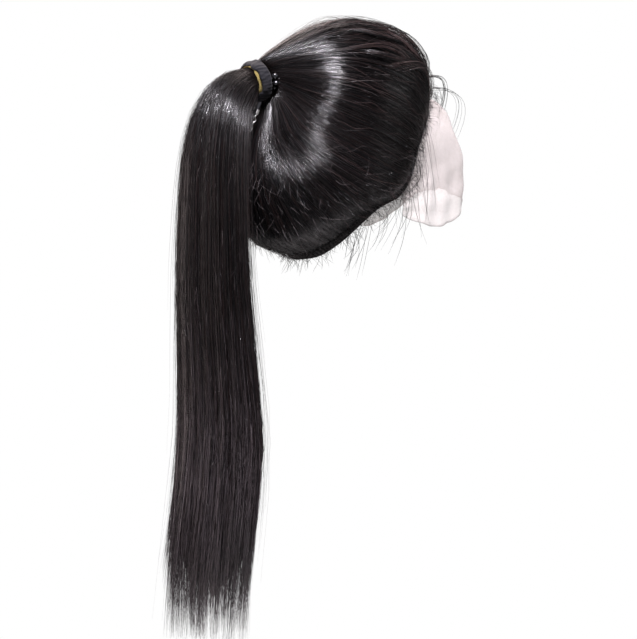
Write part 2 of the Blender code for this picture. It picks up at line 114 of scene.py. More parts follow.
LINK_STRETCH = 1.35
WIRE_RADIUS = 0.00055
BEAD_SLANT = math.radians(35)
BEADS = (
    {"turn": 0.235, "radius": 0.0030},
    {"turn": 0.285, "radius": 0.0027},
    {"turn": 0.325, "radius": 0.0015},
)

# The hair's own sizes.
STRAND_WIDTH = 0.00056  # of a few hairs that lie together
LOOSE_WIDTH = 0.00034  # of a single hair that stands off
ROOT_RISE = 0.07  # share of a flow line in which a strand rises to the surface
CROWN_STRANDS = 2300  # in each of the two crown pieces
TAIL_STRANDS = 2600  # in each of the two ponytail pieces
TAIL_MASS_END = 0.950  # share of the drop at which the ponytail's body ends
TIP_LOCKS = 29  # that the ponytail's tips are drawn into
TIP_FLARE = 0.0195  # how far the hindmost tips swing out
TAIL_CROWDING = 1.9  # how closely a ponytail strand's points lie at its bend
BABY_LOCKS = (-0.050, 0.010, 0.045, 0.060)  # turns at which long baby hairs arc off in locks

# The hair's colours.
HAIR_DARK = (0.0028, 0.0024, 0.0027)
HAIR_LIGHT = (0.0075, 0.0062, 0.0066)
HAIR_BROWN = (0.0150, 0.0086, 0.0078)
# The stray hairs' pale grey is a painted glint, where the key light grazes them.
HAIR_STRAY_GLINT = (0.1200, 0.1040, 0.1040)
HAIR_LOOSE = (0.0600, 0.0380, 0.0360)
HAIR_ENDS_SHEEN = (0.3000, 0.2550, 0.2700)  # the palest of the painted sheen on the ends of the ponytail
HAIR_SHINE = 0.40
HAIR_RELIEF = 0.0006  # depth of the combed relief in its finish

# The nets.
LACE_SPAN = 0.30  # metres of lace along the hairline, across its UVs
LACE_FALL = 0.13  # metres from the hairline to the free edge
LACE_CELL = 0.0013
LACE_WALL = 0.0003
CAP_SPAN = 0.50
CAP_FALL = 0.36
CAP_CELL = 0.0020
CAP_STITCH_ROWS = 44.0
CAP_STEPS = 16  # that the cap's inside makes over the rows of hair
CAP_STEP_RISE = 0.0003

# The stage: angles in degrees, sizes in metres, powers in watts.
LIGHT_TARGET = Vector((0, 0.05, -0.15))
LIGHTS = (
    {"name": "key", "azimuth": 242, "elevation": 49, "distance": 2.0, "size": (0.44, 0.28),
     "power": 120, "colour": (0.96, 0.92, 1.0)},
    {"name": "fill", "azimuth": 318, "elevation": 16, "distance": 2.4, "size": (1.6, 1.2),
     "power": 10, "colour": (1.0, 1.0, 1.0)},
    {"name": "top", "azimuth": 60, "elevation": 62, "distance": 2.2, "size": (1.2, 1.2),
     "power": 60, "colour": (1.0, 0.86, 0.83)},
    {"name": "far_side", "azimuth": 140, "elevation": 3, "distance": 2.4, "size": (1.4, 1.4),
     "power": 44, "colour": (1.0, 0.84, 0.82)},
)
AMBIENT = 0.17  # of the white surroundings that lights the hair
FLOOR_LEVEL = -1.70
FLOOR_RADIUS = 1.5

# The camera, by the photograph's frame.
PHOTO_HEIGHT = 639  # pixels
METRES_PER_PIXEL = 0.00103  # at the camera's target
CAMERA_AZIMUTH = 235
CAMERA_ELEVATION = 3
CAMERA_DISTANCE = 2.2
CAMERA_TARGET = Vector((0.0024, 0.0304, -0.2947))
SENSOR = 36.0  # millimetres

# Values worked out from those above.
TWO_PI = 2 * math.pi
HEAD_CENTRE = np.array((0, 0, -HEAD_TOP))
HAIR_SEAT = CAP_WALL + FIT_GAP
TIE_SEAT = np.array((0, math.cos(TIE_RISE), math.sin(TIE_RISE)))
TIE_AXIS = np.array((0, math.cos(TIE_DROOP), -math.sin(TIE_DROOP)))
TIE_UP = np.array((0, math.sin(TIE_DROOP), math.cos(TIE_DROOP)))
RIGHT = np.array((-1.0, 0, 0))  # towards the wearer's right
FORWARD = np.array((0, -1.0, 0))
UPWARD = np.array((0, 0, 1.0))
LINING_RADIUS = NECK_RADIUS + FIT_GAP
BAND_RADIUS = LINING_RADIUS + LINING_WALL + FIT_GAP
TAIL_START = TAIL["drop"][0]


# Small tools for arrays of points.


def mix(a, b, share):
    return a + (b - a) * share


def smooth(share):
    share = np.clip(share, 0.0, 1.0)
    return share * share * (3 - 2 * share)


def unit(vectors):
    return vectors / np.maximum(np.linalg.norm(vectors, axis=-1, keepdims=True), 1e-12)


def column(values):
    """Numbers ready to multiply vectors."""
    return np.asarray(values, float)[..., None]


def floats(*values):
    """Values as arrays of one shape."""
    return np.broadcast_arrays(*(np.asarray(value, float) for value in values))


def from_table(table, key, at, name):
    """Reads a row of a table at many places, on the smooth curve through its values."""
    keys = np.array(table[key], float)
    values = np.array(table[name], float)
    last = len(keys) - 1
    at = np.asarray(at, float)
    right = np.clip(np.searchsorted(keys, at), 1, last)
    left = right - 1
    low = np.maximum(np.arange(last + 1) - 1, 0)
    high = np.minimum(np.arange(last + 1) + 1, last)
    slopes = (values[high] - values[low]) / (keys[high] - keys[low])
    span = keys[right] - keys[left]
    share = (at - keys[left]) / span
    square, cube = share**2, share**3
    return (
        (2 * cube - 3 * square + 1) * values[left]
        + (cube - 2 * square + share) * slopes[left] * span
        + (3 * square - 2 * cube) * values[right]
        + (cube - square) * slopes[right] * span
    )


# The head and the lines that the hair follows over it.


def head_point(direction, lift=0.0):
    """Points of the head in directions from its centre, lifted off along the normals."""
    axes = np.stack([
        np.full(direction.shape[:-1], HEAD_SIDE),
        np.where(direction[..., 1] < 0, HEAD_FRONT, HEAD_BACK),
        np.where(direction[..., 2] > 0, HEAD_TOP, HEAD_BOTTOM),
    ], axis=-1)
    on_head = direction / np.linalg.norm(direction / axes, axis=-1, keepdims=True)
    return HEAD_CENTRE + on_head + unit(on_head / axes**2) * column(lift)


def flow_direction(turn, angle):
    """Turn 0 runs from the tie over the crown, 0.25 over the wearer's right, 0.5 to the nape."""
    over_crown = np.array((0, -math.sin(TIE_RISE), math.cos(TIE_RISE)))
    around = TWO_PI * turn
    heading = over_crown * column(np.cos(around)) + RIGHT * column(np.sin(around))
    return TIE_SEAT * column(np.cos(angle)) + heading * column(np.sin(angle))


def find_hairline(turns):
    """How far from the tie's seat each flow line meets the hairline."""
    inside = np.full(turns.shape, math.radians(30))
    outside = np.full(turns.shape, math.radians(175))
    for _ in range(40):
        middle = (inside + outside) / 2
        point = head_point(flow_direction(turns, middle))
        angle = np.abs(np.degrees(np.arctan2(point[..., 0], -point[..., 1])))
        within = -point[..., 2] < CAP_DROP * from_table(HAIRLINE, "angle", angle, "depth")
        inside = np.where(within, middle, inside)
        outside = np.where(within, outside, middle)
    return inside


FLOW_TURNS = np.arange(960) / 960
FLOW_ENDS = find_hairline(FLOW_TURNS)


def on_flow(turn, share, lift):
    """Points over the head at shares of the flow lines from the tie to the hairline."""
    turn, share = floats(turn, share)
    end = np.interp(turn % 1.0, FLOW_TURNS, FLOW_ENDS, period=1.0)
    return head_point(flow_direction(turn, end * share), np.broadcast_to(lift, turn.shape))


def band_point(turn, radius, along):
    """Points round the tie's axis, along from the band's middle towards the ponytail."""
    turn, radius, along = np.broadcast_arrays(turn, radius, along)
    middle = head_point(TIE_SEAT, TIE_STAND_OFF)
    around = TWO_PI * turn
    spoke = TIE_UP * column(np.cos(around)) + RIGHT * column(np.sin(around))
    return middle + spoke * column(radius) + TIE_AXIS * column(along)


def hair_thickness(turn, share):
    """How thick the hair lies over the cap."""
    backward = np.cos(TWO_PI * (turn - 0.5))
    towards_nape = smooth((backward - 0.30) / 0.55)
    towards_front = smooth((-backward - 0.35) / 0.60)
    sag = smooth((share - 0.18) / 0.50) * smooth((1.0 - share) / 0.16)
    puff = smooth((share - 0.45) / 0.35) * smooth((1.0 - share) / 0.15)
    thinning = mix(0.12, 0.42, 1.0 - backward**2)
    thick = mix(HAIR_EDGE, HAIR_LOFT, smooth((1.0 - share) / thinning))
    return thick + NAPE_SLACK * towards_nape * sag + CROWN_PUFF * towards_front * puff


def ripples(seed, lowest, highest, count):
    """A random relief round a closed section: a sum of waves, at most about 1 high."""
    rng = np.random.default_rng(seed)
    waves = rng.integers(lowest, highest, count)
    phases = rng.uniform(0, TWO_PI, count)
    drifts = rng.normal(0, 1.0, count)
    sizes = (lowest / waves) ** 0.5

    def relief(turn, along):
        turn, along = np.broadcast_arrays(turn, along)
        total = np.zeros(turn.shape)
        for wave, phase, drift, size in zip(waves, phases, drifts, sizes):
            total += size * np.cos(TWO_PI * wave * turn + phase + drift * along)
        return total / np.sqrt((sizes**2).sum() * 2)

    return relief


crown_locks = ripples(11, 18, 46, 9)
crown_combing = ripples(12, 60, 120, 12)
tail_locks = ripples(21, 9, 26, 8)
tail_combing = ripples(22, 34, 84, 12)


def crown_relief(turn, share):
    """The combed locks, strongest midway along the flow lines."""
    height = np.sin(math.pi * np.clip(share * 1.05, 0.0, 1.0)) ** 0.7
    even = 0.35 * np.cos(TWO_PI * CROWN_LOCKS * turn)
    uneven = 0.95 * crown_locks(turn, share * 1.6) + 0.42 * crown_combing(turn, share * 3.0)
    return LOCK_RIDGE * (even + uneven) * height


def crown_surface(turn, share, lift=0.0):
    """The outside of the hair: out of the band in a bend to the head, then over the cap."""
    turn, share, lift = floats(turn, share, lift)
    on_cap = np.maximum(share, GATHERED_SHARE)
    raised = HAIR_SEAT + hair_thickness(turn, on_cap) + crown_relief(turn, share) + lift
    over_cap = on_flow(turn, on_cap, raised)
    bend = column(np.minimum(share / GATHERED_SHARE, 1.0))
    flare = GATHER_FLARE * (1 + np.cos(TWO_PI * turn)) / 2
    start = band_point(turn, NECK_RADIUS + lift * 0.4, -BAND_WIDTH / 2)
    turning = band_point(turn, NECK_RADIUS + flare + lift, -BAND_WIDTH / 2 - GATHER_REACH)
    early, late = mix(start, turning, bend), mix(turning, over_cap, bend)
    return np.where(column(share) >= GATHERED_SHARE, over_cap, mix(early, late, bend))


def on_crown(turn, share, lift):
    """Points at a height over the combed hair, and the way out of it there."""
    place = crown_surface(turn, share, lift)
    return place, unit(crown_surface(turn, share, lift + 0.001) - place)


def tail_frame(drop):
    """Middle, half-depth and half-width of the ponytail at shares of its drop."""
    band = band_point(0.0, 0.0, BAND_WIDTH / 2)
    back = from_table(TAIL, "drop", drop, "back") * TAIL_BACK
    depth = from_table(TAIL, "drop", drop, "depth") * TAIL_DEPTH
    width = from_table(TAIL, "drop", drop, "width") * TAIL_WIDTH
    middle = band + np.stack([0 * back, back, -np.asarray(drop) * TAIL_DROP], axis=-1)
    return middle, depth, width


def tail_point(drop, turn, out):
    """Points inside the ponytail: out is 0 on its middle line and 1 on its outline."""
    drop, turn, out = floats(drop, turn, out)
    held = np.clip(drop, TAIL_START, 1.0)
    middle, depth, width = tail_frame(held)
    before = tail_frame(np.maximum(TAIL_START, held - 0.01))[0]
    after = tail_frame(np.minimum(1.0, held + 0.01))[0]
    outward = unit(np.cross(RIGHT, unit(after - before)))
    outward = outward * np.sign(outward[..., 1:2])
    around = TWO_PI * turn
    below = np.maximum(0.0, drop - 1.0) * TAIL_DROP
    return (
        middle
        + outward * column(np.cos(around) * depth * out)
        + RIGHT * column(np.sin(around) * width * out)
        - UPWARD * column(below)
    )


def tail_relief(turn, drop):
    """How far the locks stand out of the ponytail, as a share of its half-depth."""
    even = 0.30 * np.cos(TWO_PI * TAIL_LOCKS * turn)
    uneven = 0.95 * tail_locks(turn, drop * 2.0) + 0.42 * tail_combing(turn, drop * 5.0)
    return (TAIL_RIDGE / TAIL_DEPTH) * (even + uneven) * smooth(drop / 0.06)


def lace_point(turn, share):
    """Points of the lace at shares of the way from the hairline to its free edge."""
    turn, share = floats(turn, share)
    root = on_flow(turn, 1.0, CAP_WALL / 2)
    onward = unit(root - on_flow(turn, 0.97, CAP_WALL / 2))
    outward = unit(on_flow(turn, 1.0, CAP_WALL) - on_flow(turn, 1.0, 0.0))
    side, forward, drop, stand = (
        from_table(LACE, "turn", np.abs(turn), name) for name in ("side", "forward", "drop", "stand")
    )
    edge = np.stack([
        -np.sign(turn) * side * LACE_SIDE, -forward * LACE_REACH, -drop * LACE_DROP
    ], axis=-1)
    start = root + onward * LACE_SEAM
    reach = np.linalg.norm(edge - start, axis=-1) * LACE_BULGE
    heading = unit(onward * column(1 - 0.6 * stand) + outward * column(stand))
    out = start + heading * column(reach)
    down = edge + UPWARD * column(reach * 0.8)
    share, rest = column(share), column(1 - share)
    return (
        start * rest**3 + out * 3 * rest**2 * share + down * 3 * rest * share**2 + edge * share**3
    )


# Mesh builders.


def mesh_object(name, verts, faces, uvs, surface):
    """An object of equal faces. uvs holds a pair for each corner of each face."""
    mesh = bpy.data.meshes.new(name)
    mesh.vertices.add(len(verts))
    mesh.vertices.foreach_set("co", np.ascontiguousarray(verts, np.float32).ravel())
    mesh.loops.add(faces.size)
    mesh.loops.foreach_set("vertex_index", np.ascontiguousarray(faces, np.int32).ravel())
    mesh.polygons.add(len(faces))
    mesh.polygons.foreach_set("loop_start", np.arange(0, faces.size, faces.shape[1], dtype=np.int32))
    mesh.update(calc_edges=True)
    layer = mesh.uv_layers.new(name="along")
    layer.data.foreach_set("uv", np.ascontiguousarray(uvs, np.float32).ravel())
    mesh.shade_smooth()
    mesh.materials.append(surface)
    obj = bpy.data.objects.new(name, mesh)
    bpy.context.scene.collection.objects.link(obj)
    return obj


def closed_object(name, verts, faces, uvs, surface):
    """An object of triangles round a closed body, turned outward."""
    a, b, c = (verts[faces[:, i]] for i in range(3))
    if (a * np.cross(b, c)).sum() < 0:
        faces, uvs = faces[:, ::-1], uvs[:, ::-1]
    return mesh_object(name, verts, faces, uvs, surface)


def triangles_of(quads):
    """Each quad as two triangles; works for corner indices and for corner UVs."""
    return np.concatenate([quads[:, (0, 1, 2)], quads[:, (0, 2, 3)]])


def corner_uvs(u, v, next_u, next_v):
    """The UVs of quads' four corners."""
    pairs = ((u, v), (next_u, v), (next_u, next_v), (u, next_v))
    return np.stack([np.stack(pair, axis=-1) for pair in pairs], axis=1)


def band_faces(count, turns, levels):
    """Triangles between rings of points, and their UVs, which run round and from level to level.
    With one level more than there are rings, the last ring joins the first."""
    row, turn = np.meshgrid(np.arange(len(levels) - 1), np.arange(turns), indexing="ij")
    row, turn = row.ravel(), turn.ravel()
    ahead, below = (turn + 1) % turns, (row + 1) % count
    quads = np.stack([
        row * turns + turn, row * turns + ahead, below * turns + ahead, below * turns + turn
    ], axis=-1)
    uvs = corner_uvs(turn / turns, levels[row], (turn + 1) / turns, levels[row + 1])
    return triangles_of(quads), triangles_of(uvs)


def shell(name, rings, surface, shares=None):
    """A closed body through rings of points, its two ends closed by a fan to their middles."""
    count, turns = rings.shape[:2]
    shares = np.linspace(0, 1, count) if shares is None else np.asarray(shares, float)
    verts = np.concatenate([rings.reshape(-1, 3), rings[[0, -1]].mean(axis=1)])
    sides, side_uvs = band_faces(count, turns, shares)
    faces, uvs = [sides], [side_uvs]
    around = np.arange(turns)
    for ring, pole, order in ((0, 0, (0, 1, 2)), (count - 1, 1, (2, 1, 0))):
        fan = np.stack([
            np.full(turns, count * turns + pole), ring * turns + (around + 1) % turns,
            ring * turns + around,
        ], axis=-1)
        across = np.stack([around + 0.5, around + 1, around], axis=-1) / turns
        fan_uvs = np.stack([across, np.full(across.shape, shares[ring])], axis=-1)
        faces.append(fan[:, order])
        uvs.append(fan_uvs[:, order])
    return closed_object(name, verts, np.concatenate(faces), np.concatenate(uvs), surface)


def ring_shell(name, rings, surface):
    """A closed body through rings of points, whose last ring joins the first."""
    count, turns = rings.shape[:2]
    faces, uvs = band_faces(count, turns, np.linspace(0, 1, count + 1))
    return closed_object(name, rings.reshape(-1, 3), faces, uvs, surface)


def strands(name, paths, widths, outward, surface):
    """Closed three-sided hairs along paths (hairs, points, 3), of the widths at their points."""
    hairs, points = paths.shape[:2]
    along = unit(np.gradient(paths, axis=1))
    side = unit(np.cross(along, outward))
    up = np.cross(side, along)
    half = column(np.broadcast_to(widths, (hairs, points)) / 2)
    rings = np.stack([
        paths - side * half, paths + side * half, paths + up * half * 1.1
    ], axis=2)
    start = (np.arange(hairs) * points * 3)[:, None, None]
    ring = np.arange(points - 1)[:, None]
    corner = np.arange(3)
    here, there = (start + ring * 3 + index for index in (corner, (corner + 1) % 3))
    quads = np.stack([here, here + 3, there + 3, there], axis=-1).reshape(-1, 4)
    low = np.broadcast_to(ring / (points - 1), here.shape).ravel()
    high = low + 1 / (points - 1)
    quad_uvs = corner_uvs(0 * low, low, 0 * low + 1, high)[:, (0, 3, 2, 1)]
    root = start.ravel()
    tip = root + (points - 1) * 3
    ends = np.concatenate([
        np.stack([root, root + 1, root + 2], -1), np.stack([tip, tip + 2, tip + 1], -1)
    ])
    end_uvs = np.broadcast_to(((0, 0), (1, 0), (0, 0.01)), (len(ends), 3, 2))
    faces = np.concatenate([triangles_of(quads), ends])
    uvs = np.concatenate([triangles_of(quad_uvs), end_uvs])
    return mesh_object(name, rings.reshape(-1, 3), faces, uvs, surface)


def taper(points, root, tip, crowding=1.0):
    """Shares of a hair's width along it: thin at the root and thinner at the tip."""
    along = np.linspace(0, 1, points) ** crowding
    return mix(root, 1.0, smooth(along / 0.15)) * mix(1.0, tip, smooth((along - 0.72) / 0.28))


# Materials. Each is worked out by nodes, with its even values set on the shader.


class Nodes:
    """A material's node tree, with a short way to add and link nodes."""

    def __init__(self, name):
        self.material = bpy.data.materials.new(name)
        self.material.use_nodes = True
        self.tree = self.material.node_tree
        self.shader = self.tree.nodes["Principled BSDF"]

    def feed(self, socket, value):
        """Links a socket to another, or sets its number or colour."""
        if isinstance(value, bpy.types.NodeSocket):
            self.tree.links.new(value, socket)
        else:
            socket.default_value = (*value, 1.0) if socket.type == "RGBA" else value

    def add(self, kind, values=None, **settings):
        node = self.tree.nodes.new(kind)
        for key, value in settings.items():
            setattr(node, key, value)
        for key, value in (values or {}).items():
            self.feed(node.inputs[key], value)
        return node

    def set(self, **values):
        for key, value in values.items():
            self.feed(self.shader.inputs[key.replace("_", " ")], value)

    def maths(self, operation, a, b=0.0):
        return self.add("ShaderNodeMath", {0: a, 1: b}, operation=operation).outputs[0]

    def times(self, a, b):
        return self.maths("MULTIPLY", a, b)

    def reshuffled(self, value, factor):
        """Another random number, worked out from one."""
        return self.maths("FRACT", self.times(value, factor))

    def vector(self, x, y, z=0.0):
        return self.add("ShaderNodeCombineXYZ", {0: x, 1: y, 2: z}).outputs[0]

    def noise(self, place, scale, detail=3.0, roughness=0.6):
        values = {"Vector": place, "Scale": scale, "Detail": detail, "Roughness": roughness}
        return self.add("ShaderNodeTexNoise", values).outputs["Fac"]

    def ramp(self, factor, *stops):
        """Stops are (place, colour or grey)."""
        node = self.add("ShaderNodeValToRGB", {0: factor})
        ramp = node.color_ramp
        while len(ramp.elements) < len(stops):
            ramp.elements.new(0.5)
        for element, (place, colour) in zip(ramp.elements, stops):
            element.position = place
            colour = colour if hasattr(colour, "__len__") else (colour,) * 3
            element.color = (*colour, 1.0)
        return node.outputs["Color"]

    def blend(self, share, a, b):
        """The colour between a and b."""
        return self.add("ShaderNodeMix", {0: share, 6: a, 7: b}, data_type="RGBA").outputs[2]

    def range(self, value, low, high):
        """A value of 0 to 1 as one of low to high."""
        values = {"Value": value, "To Min": low, "To Max": high}
        return self.add("ShaderNodeMapRange", values).outputs["Result"]

    def bump(self, height, distance, strength=1.0):
        values = {"Height": height, "Distance": distance, "Strength": strength}
        return self.add("ShaderNodeBump", values).outputs["Normal"]

    def uv(self):
        """The two parts of the place on the surface: across and along."""
        source = self.add("ShaderNodeUVMap", uv_map="along").outputs["UV"]
        parts = self.add("ShaderNodeSeparateXYZ", {0: source})
        return parts.outputs[0], parts.outputs[1]

    def tangent(self):
        """The way along the hair, for its gloss."""
        return self.add("ShaderNodeTangent", direction_type="UV_MAP", uv_map="along").outputs[0]

    def object_place(self):
        return self.add("ShaderNodeTexCoord").outputs["Object"]

    def sheet_place(self, across_scale, along_scale):
        """The place on a sheet, with its UVs scaled up."""
        across, run = self.uv()
        return self.vector(self.times(across, across_scale), self.times(run, along_scale))

    def net(self, span, fall, cell):
        """How far each place of a sheet is from the threads of a net of round holes."""
        return self.add(
            "ShaderNodeTexVoronoi",
            {"Vector": self.sheet_place(span / cell, fall / cell), "Scale": 1.0, "Randomness": 0.18},
            feature="DISTANCE_TO_EDGE", voronoi_dimensions="2D",
        ).outputs["Distance"]


def strand_coordinates(nodes, around, along):
    """A place for noise that closes round a section: fine across the hair, long along it."""
    across, run = nodes.uv()
    angle = nodes.times(across, TWO_PI)
    x = nodes.times(nodes.maths("COSINE", angle), around)
    y = nodes.times(nodes.maths("SINE", angle), around)
    return nodes.vector(x, y, nodes.times(run, along))


def sheen_towards_ends(nodes, tone, drop, each):
    """The tone, lightened by a painted pale sheen towards the ends of the ponytail, more in some hairs
    than in others.
    """
    sheen_share = nodes.ramp(drop, (0.46, 0.0), (0.80, 0.40), (1.0, 1.0))
    return nodes.blend(nodes.times(sheen_share, each), tone, HAIR_ENDS_SHEEN)


def hair_mass_material(name, around, along, ends_sheen=False):
    """The hair under the loose strands: streaks of dark and brown, with fine combed relief."""
    nodes = Nodes(name)
    place = strand_coordinates(nodes, around, along)
    fine = nodes.noise(place, 6.0, detail=4.0, roughness=0.75)
    broad = nodes.noise(place, 1.2, detail=2.0)
    tone = nodes.ramp(fine, (0.30, HAIR_DARK), (0.55, HAIR_LIGHT), (0.74, HAIR_BROWN))
    tone = nodes.blend(nodes.range(broad, 0.1, 0.9), HAIR_DARK, tone)
    # Towards the ponytail's ends the tone is lightened to a pale grey: a painted sheen.
    if ends_sheen:
        tone = sheen_towards_ends(nodes, tone, nodes.uv()[1], nodes.ramp(fine, (0.42, 0.0), (0.72, 0.8)))
    nodes.set(
        Base_Color=tone,
        Roughness=nodes.range(broad, 0.21, 0.34),
        Anisotropic=0.75,
        Specular_IOR_Level=HAIR_SHINE,
        Normal=nodes.bump(fine, HAIR_RELIEF),
        Tangent=nodes.tangent(),
    )
    return nodes.material


def strand_material(name, roughness=(0.16, 0.30), brown=0.30, brightest=HAIR_BROWN, ends_sheen=False):
    """Separate hairs: each has its own tone and gloss, mottled along it."""
    nodes = Nodes(name)
    each = nodes.add("ShaderNodeNewGeometry").outputs["Random Per Island"]
    _, run = nodes.uv()
    body = nodes.ramp(
        each, (0.0, HAIR_DARK), (0.50, HAIR_DARK), (0.66, HAIR_LIGHT), (1.0 - brown * 0.4, brightest)
    )
    mottle = nodes.noise(nodes.vector(each, run), 34.0)
    tone = nodes.blend(nodes.range(mottle, 0.0, 0.5), body, HAIR_DARK)
    # Towards the ponytail's ends the tone is lightened to a pale grey: a painted sheen.
    if ends_sheen:
        each_sheen = nodes.maths("POWER", nodes.reshuffled(each, 53.1), 2.2)
        tone = sheen_towards_ends(nodes, tone, nodes.maths("POWER", run, TAIL_CROWDING), each_sheen)
    nodes.set(
        Base_Color=tone,
        Roughness=nodes.range(nodes.reshuffled(each, 37.7), *roughness),
        Anisotropic=0.60,
        Specular_IOR_Level=nodes.range(nodes.reshuffled(each, 91.3), 0.12, 0.72),
        Tangent=nodes.tangent(),
    )
    return nodes.material


def lace_material():
    """Sheer lace: light brown threads round open holes, denser at the seam and the cut edge."""
    nodes = Nodes("lace")
    across, run = nodes.uv()
    thread = nodes.ramp(nodes.net(LACE_SPAN, LACE_FALL, LACE_CELL), (0.10, 1.0), (0.26, 0.0))
    soft = nodes.noise(nodes.vector(across, run), 9.0, detail=4.0)
    veil = nodes.range(soft, 0.09, 0.22)
    edge = nodes.ramp(run, (0.0, 0.60), (0.05, 0.0), (0.965, 0.0), (0.99, 0.45))
    cover = nodes.maths("MAXIMUM", nodes.range(thread, 0.04, 0.62), veil)
    nodes.set(
        Base_Color=nodes.blend(soft, (0.47, 0.425, 0.395), (0.62, 0.570, 0.540)),
        Roughness=0.72,
        Alpha=nodes.maths("MAXIMUM", cover, edge),
        Specular_IOR_Level=0.25,
        Sheen_Weight=0.25,
        Sheen_Roughness=0.5,
        Normal=nodes.bump(thread, 0.0002, 0.6),
    )
    return nodes.material


def cap_material():
    """Black cap net: small cells, with the rows of stitching that hold the hair."""
    nodes = Nodes("cap_net")
    thread = nodes.ramp(nodes.net(CAP_SPAN, CAP_FALL, CAP_CELL), (0.08, 1.0), (0.22, 0.0))
    rows = nodes.reshuffled(nodes.uv()[1], CAP_STITCH_ROWS)
    stitch = nodes.ramp(rows, (0.0, 0.0), (0.30, 1.0), (0.60, 0.0))
    knots = nodes.noise(nodes.sheet_place(260.0, CAP_STITCH_ROWS), 1.0)
    knotted = nodes.blend(knots, (0.020, 0.018, 0.018), (0.050, 0.045, 0.043))
    relief = nodes.maths("ADD", thread, nodes.times(stitch, knots))
    nodes.set(
        Base_Color=nodes.blend(nodes.range(thread, 0.0, 0.8), (0.008, 0.007, 0.007), knotted),
        Roughness=nodes.range(knots, 0.62, 0.88),
        Specular_IOR_Level=0.30,
        Normal=nodes.bump(relief, 0.0004, 0.8),
    )
    return nodes.material


def cloth_material(name, deep, light, threads):
    """Woven cloth: two sets of threads and a soft, slightly faded nap."""
    nodes = Nodes(name)
    warp, weft = (
        nodes.maths("SINE", nodes.times(part, TWO_PI * number))
        for part, number in zip(nodes.uv(), threads)
    )
    weave = nodes.range(nodes.times(warp, weft), 0.0, 1.0)
    nap = nodes.noise(nodes.sheet_place(30.0, 9.0), 1.4, detail=5.0)
    nodes.set(
        Base_Color=nodes.blend(nodes.times(weave, nap), deep, light),
        Roughness=nodes.range(nap, 0.66, 0.92),
        Specular_IOR_Level=0.30,
        Sheen_Weight=0.12,
        Sheen_Roughness=0.45,
        Normal=nodes.bump(nodes.maths("ADD", weave, nap), 0.00015, 0.7),
    )
    return nodes.material


def silver_material():
    """Polished silver-coloured metal, a little scratched and dull in places."""
    nodes = Nodes("silver")
    place = nodes.object_place()
    wear = nodes.noise(place, 900.0, detail=4.0)
    drawn = nodes.add("ShaderNodeMapping", {"Vector": place, "Scale": (9000, 900, 900)}).outputs[0]
    nodes.set(
        Base_Color=nodes.ramp(wear, (0.35, (0.20, 0.195, 0.19)), (0.60, (0.50, 0.49, 0.48))),
        Metallic=1.0,
        Roughness=nodes.range(wear, 0.20, 0.46),
        Normal=nodes.bump(nodes.noise(drawn, 1.0), 0.00002, 0.5),
    )
    return nodes.material


def bead_material():
    """Glossy black, with faint swirls and fine handling marks."""
    nodes = Nodes("bead_black")
    swirl = nodes.noise(nodes.object_place(), 700.0)
    nodes.set(
        Base_Color=nodes.blend(swirl, (0.006, 0.006, 0.007), (0.020, 0.020, 0.023)),
        Roughness=nodes.range(swirl, 0.06, 0.18),
        Specular_IOR_Level=0.6,
        Coat_Weight=0.4,
        Coat_Roughness=0.05,
    )
    return nodes.material


# The crown.


def build_crown_mass(surface):
    """The body of the hair from the hairline to the tie, hollow over the cap."""
    turns = np.arange(400) / 400
    shares = np.linspace(0, 1, 54) ** 0.86 * 0.962
    stub = -FIT_GAP / 2
    rings = [band_point(turns, NECK_RADIUS * 0.5, stub), band_point(turns, NECK_RADIUS, stub)]
    ragged = 0.008 * crown_combing(turns, 0.4)
    for share in shares:
        near_edge = smooth((share - 0.78) / 0.18)
        sink = -0.0013 * near_edge - 0.0004
        rings.append(crown_surface(turns, share + ragged * near_edge, sink))
    under = np.linspace(0.945, 0.03, 12)
    rings += [on_flow(turns, share, HAIR_SEAT) for share in under]
    lengths = np.concatenate([[-0.04, -0.02], shares, under])
    return shell("crown_hair_mass", np.stack(rings), surface, lengths)


def spread_turns(rng, count):
    """Turns spread evenly round a section, in mixed order."""
    turn = (np.arange(count) + rng.uniform(0, 1, count)) / count
    rng.shuffle(turn)
    return turn


def crown_paths(rng, points, roots, height, settle, root_depth):
    """Strands over the crown from their roots to the tie: points, outward sides and shares."""
    count = len(roots)
    each = (count, 1)
    turn = spread_turns(rng, count)
    run = np.linspace(0, 1, points)
    ends = rng.uniform(0.0, 0.05, each)
    share = mix(column(roots), ends, run ** rng.uniform(0.72, 1.12, each))
    wander = rng.normal(0, 0.0022, each) * np.sin(math.pi * run)
    waves, phase = rng.uniform(0.5, 1.6, each), rng.uniform(0, 1, each)
    sway = 0.0012 * np.sin(TWO_PI * (run * waves + phase))
    turns = column(turn) + (wander + sway) * smooth(share / 0.35)
    risen = smooth((column(roots) - share) / ROOT_RISE)
    diving = smooth((column(settle) - share) / 0.16)
    lift = mix(-column(root_depth), column(height), risen) - 0.0010 * diving
    return (*on_crown(turns, share, lift), share)


def build_crown_strands(name, seed, surface):
    """Strands combed from the hairline and from the cap's rows back to the tie."""
    rng = np.random.default_rng(seed)
    count, points = CROWN_STRANDS, 12
    at_hairline = rng.uniform(0, 1, count) < 0.50
    edge_roots = 1.008 - 0.075 * rng.uniform(0, 1, count) ** 1.6
    roots = np.where(at_hairline, edge_roots, rng.uniform(0.30, 0.97, count))
    root_depth = np.where(at_hairline, HAIR_EDGE, 0.0014)
    height = np.abs(rng.normal(0.0001, 0.0005, count))
    settle = rng.uniform(-0.2, 0.34, count)
    paths, outward, share = crown_paths(rng, points, roots, height, settle, root_depth)
    widths = STRAND_WIDTH * rng.uniform(0.6, 1.15, (count, 1)) * taper(points, 0.35, 0.7)
    widths = widths * mix(0.45, 1.0, smooth(share / 0.30))
    return strands(name, paths, widths, outward, surface)


# The ponytail.


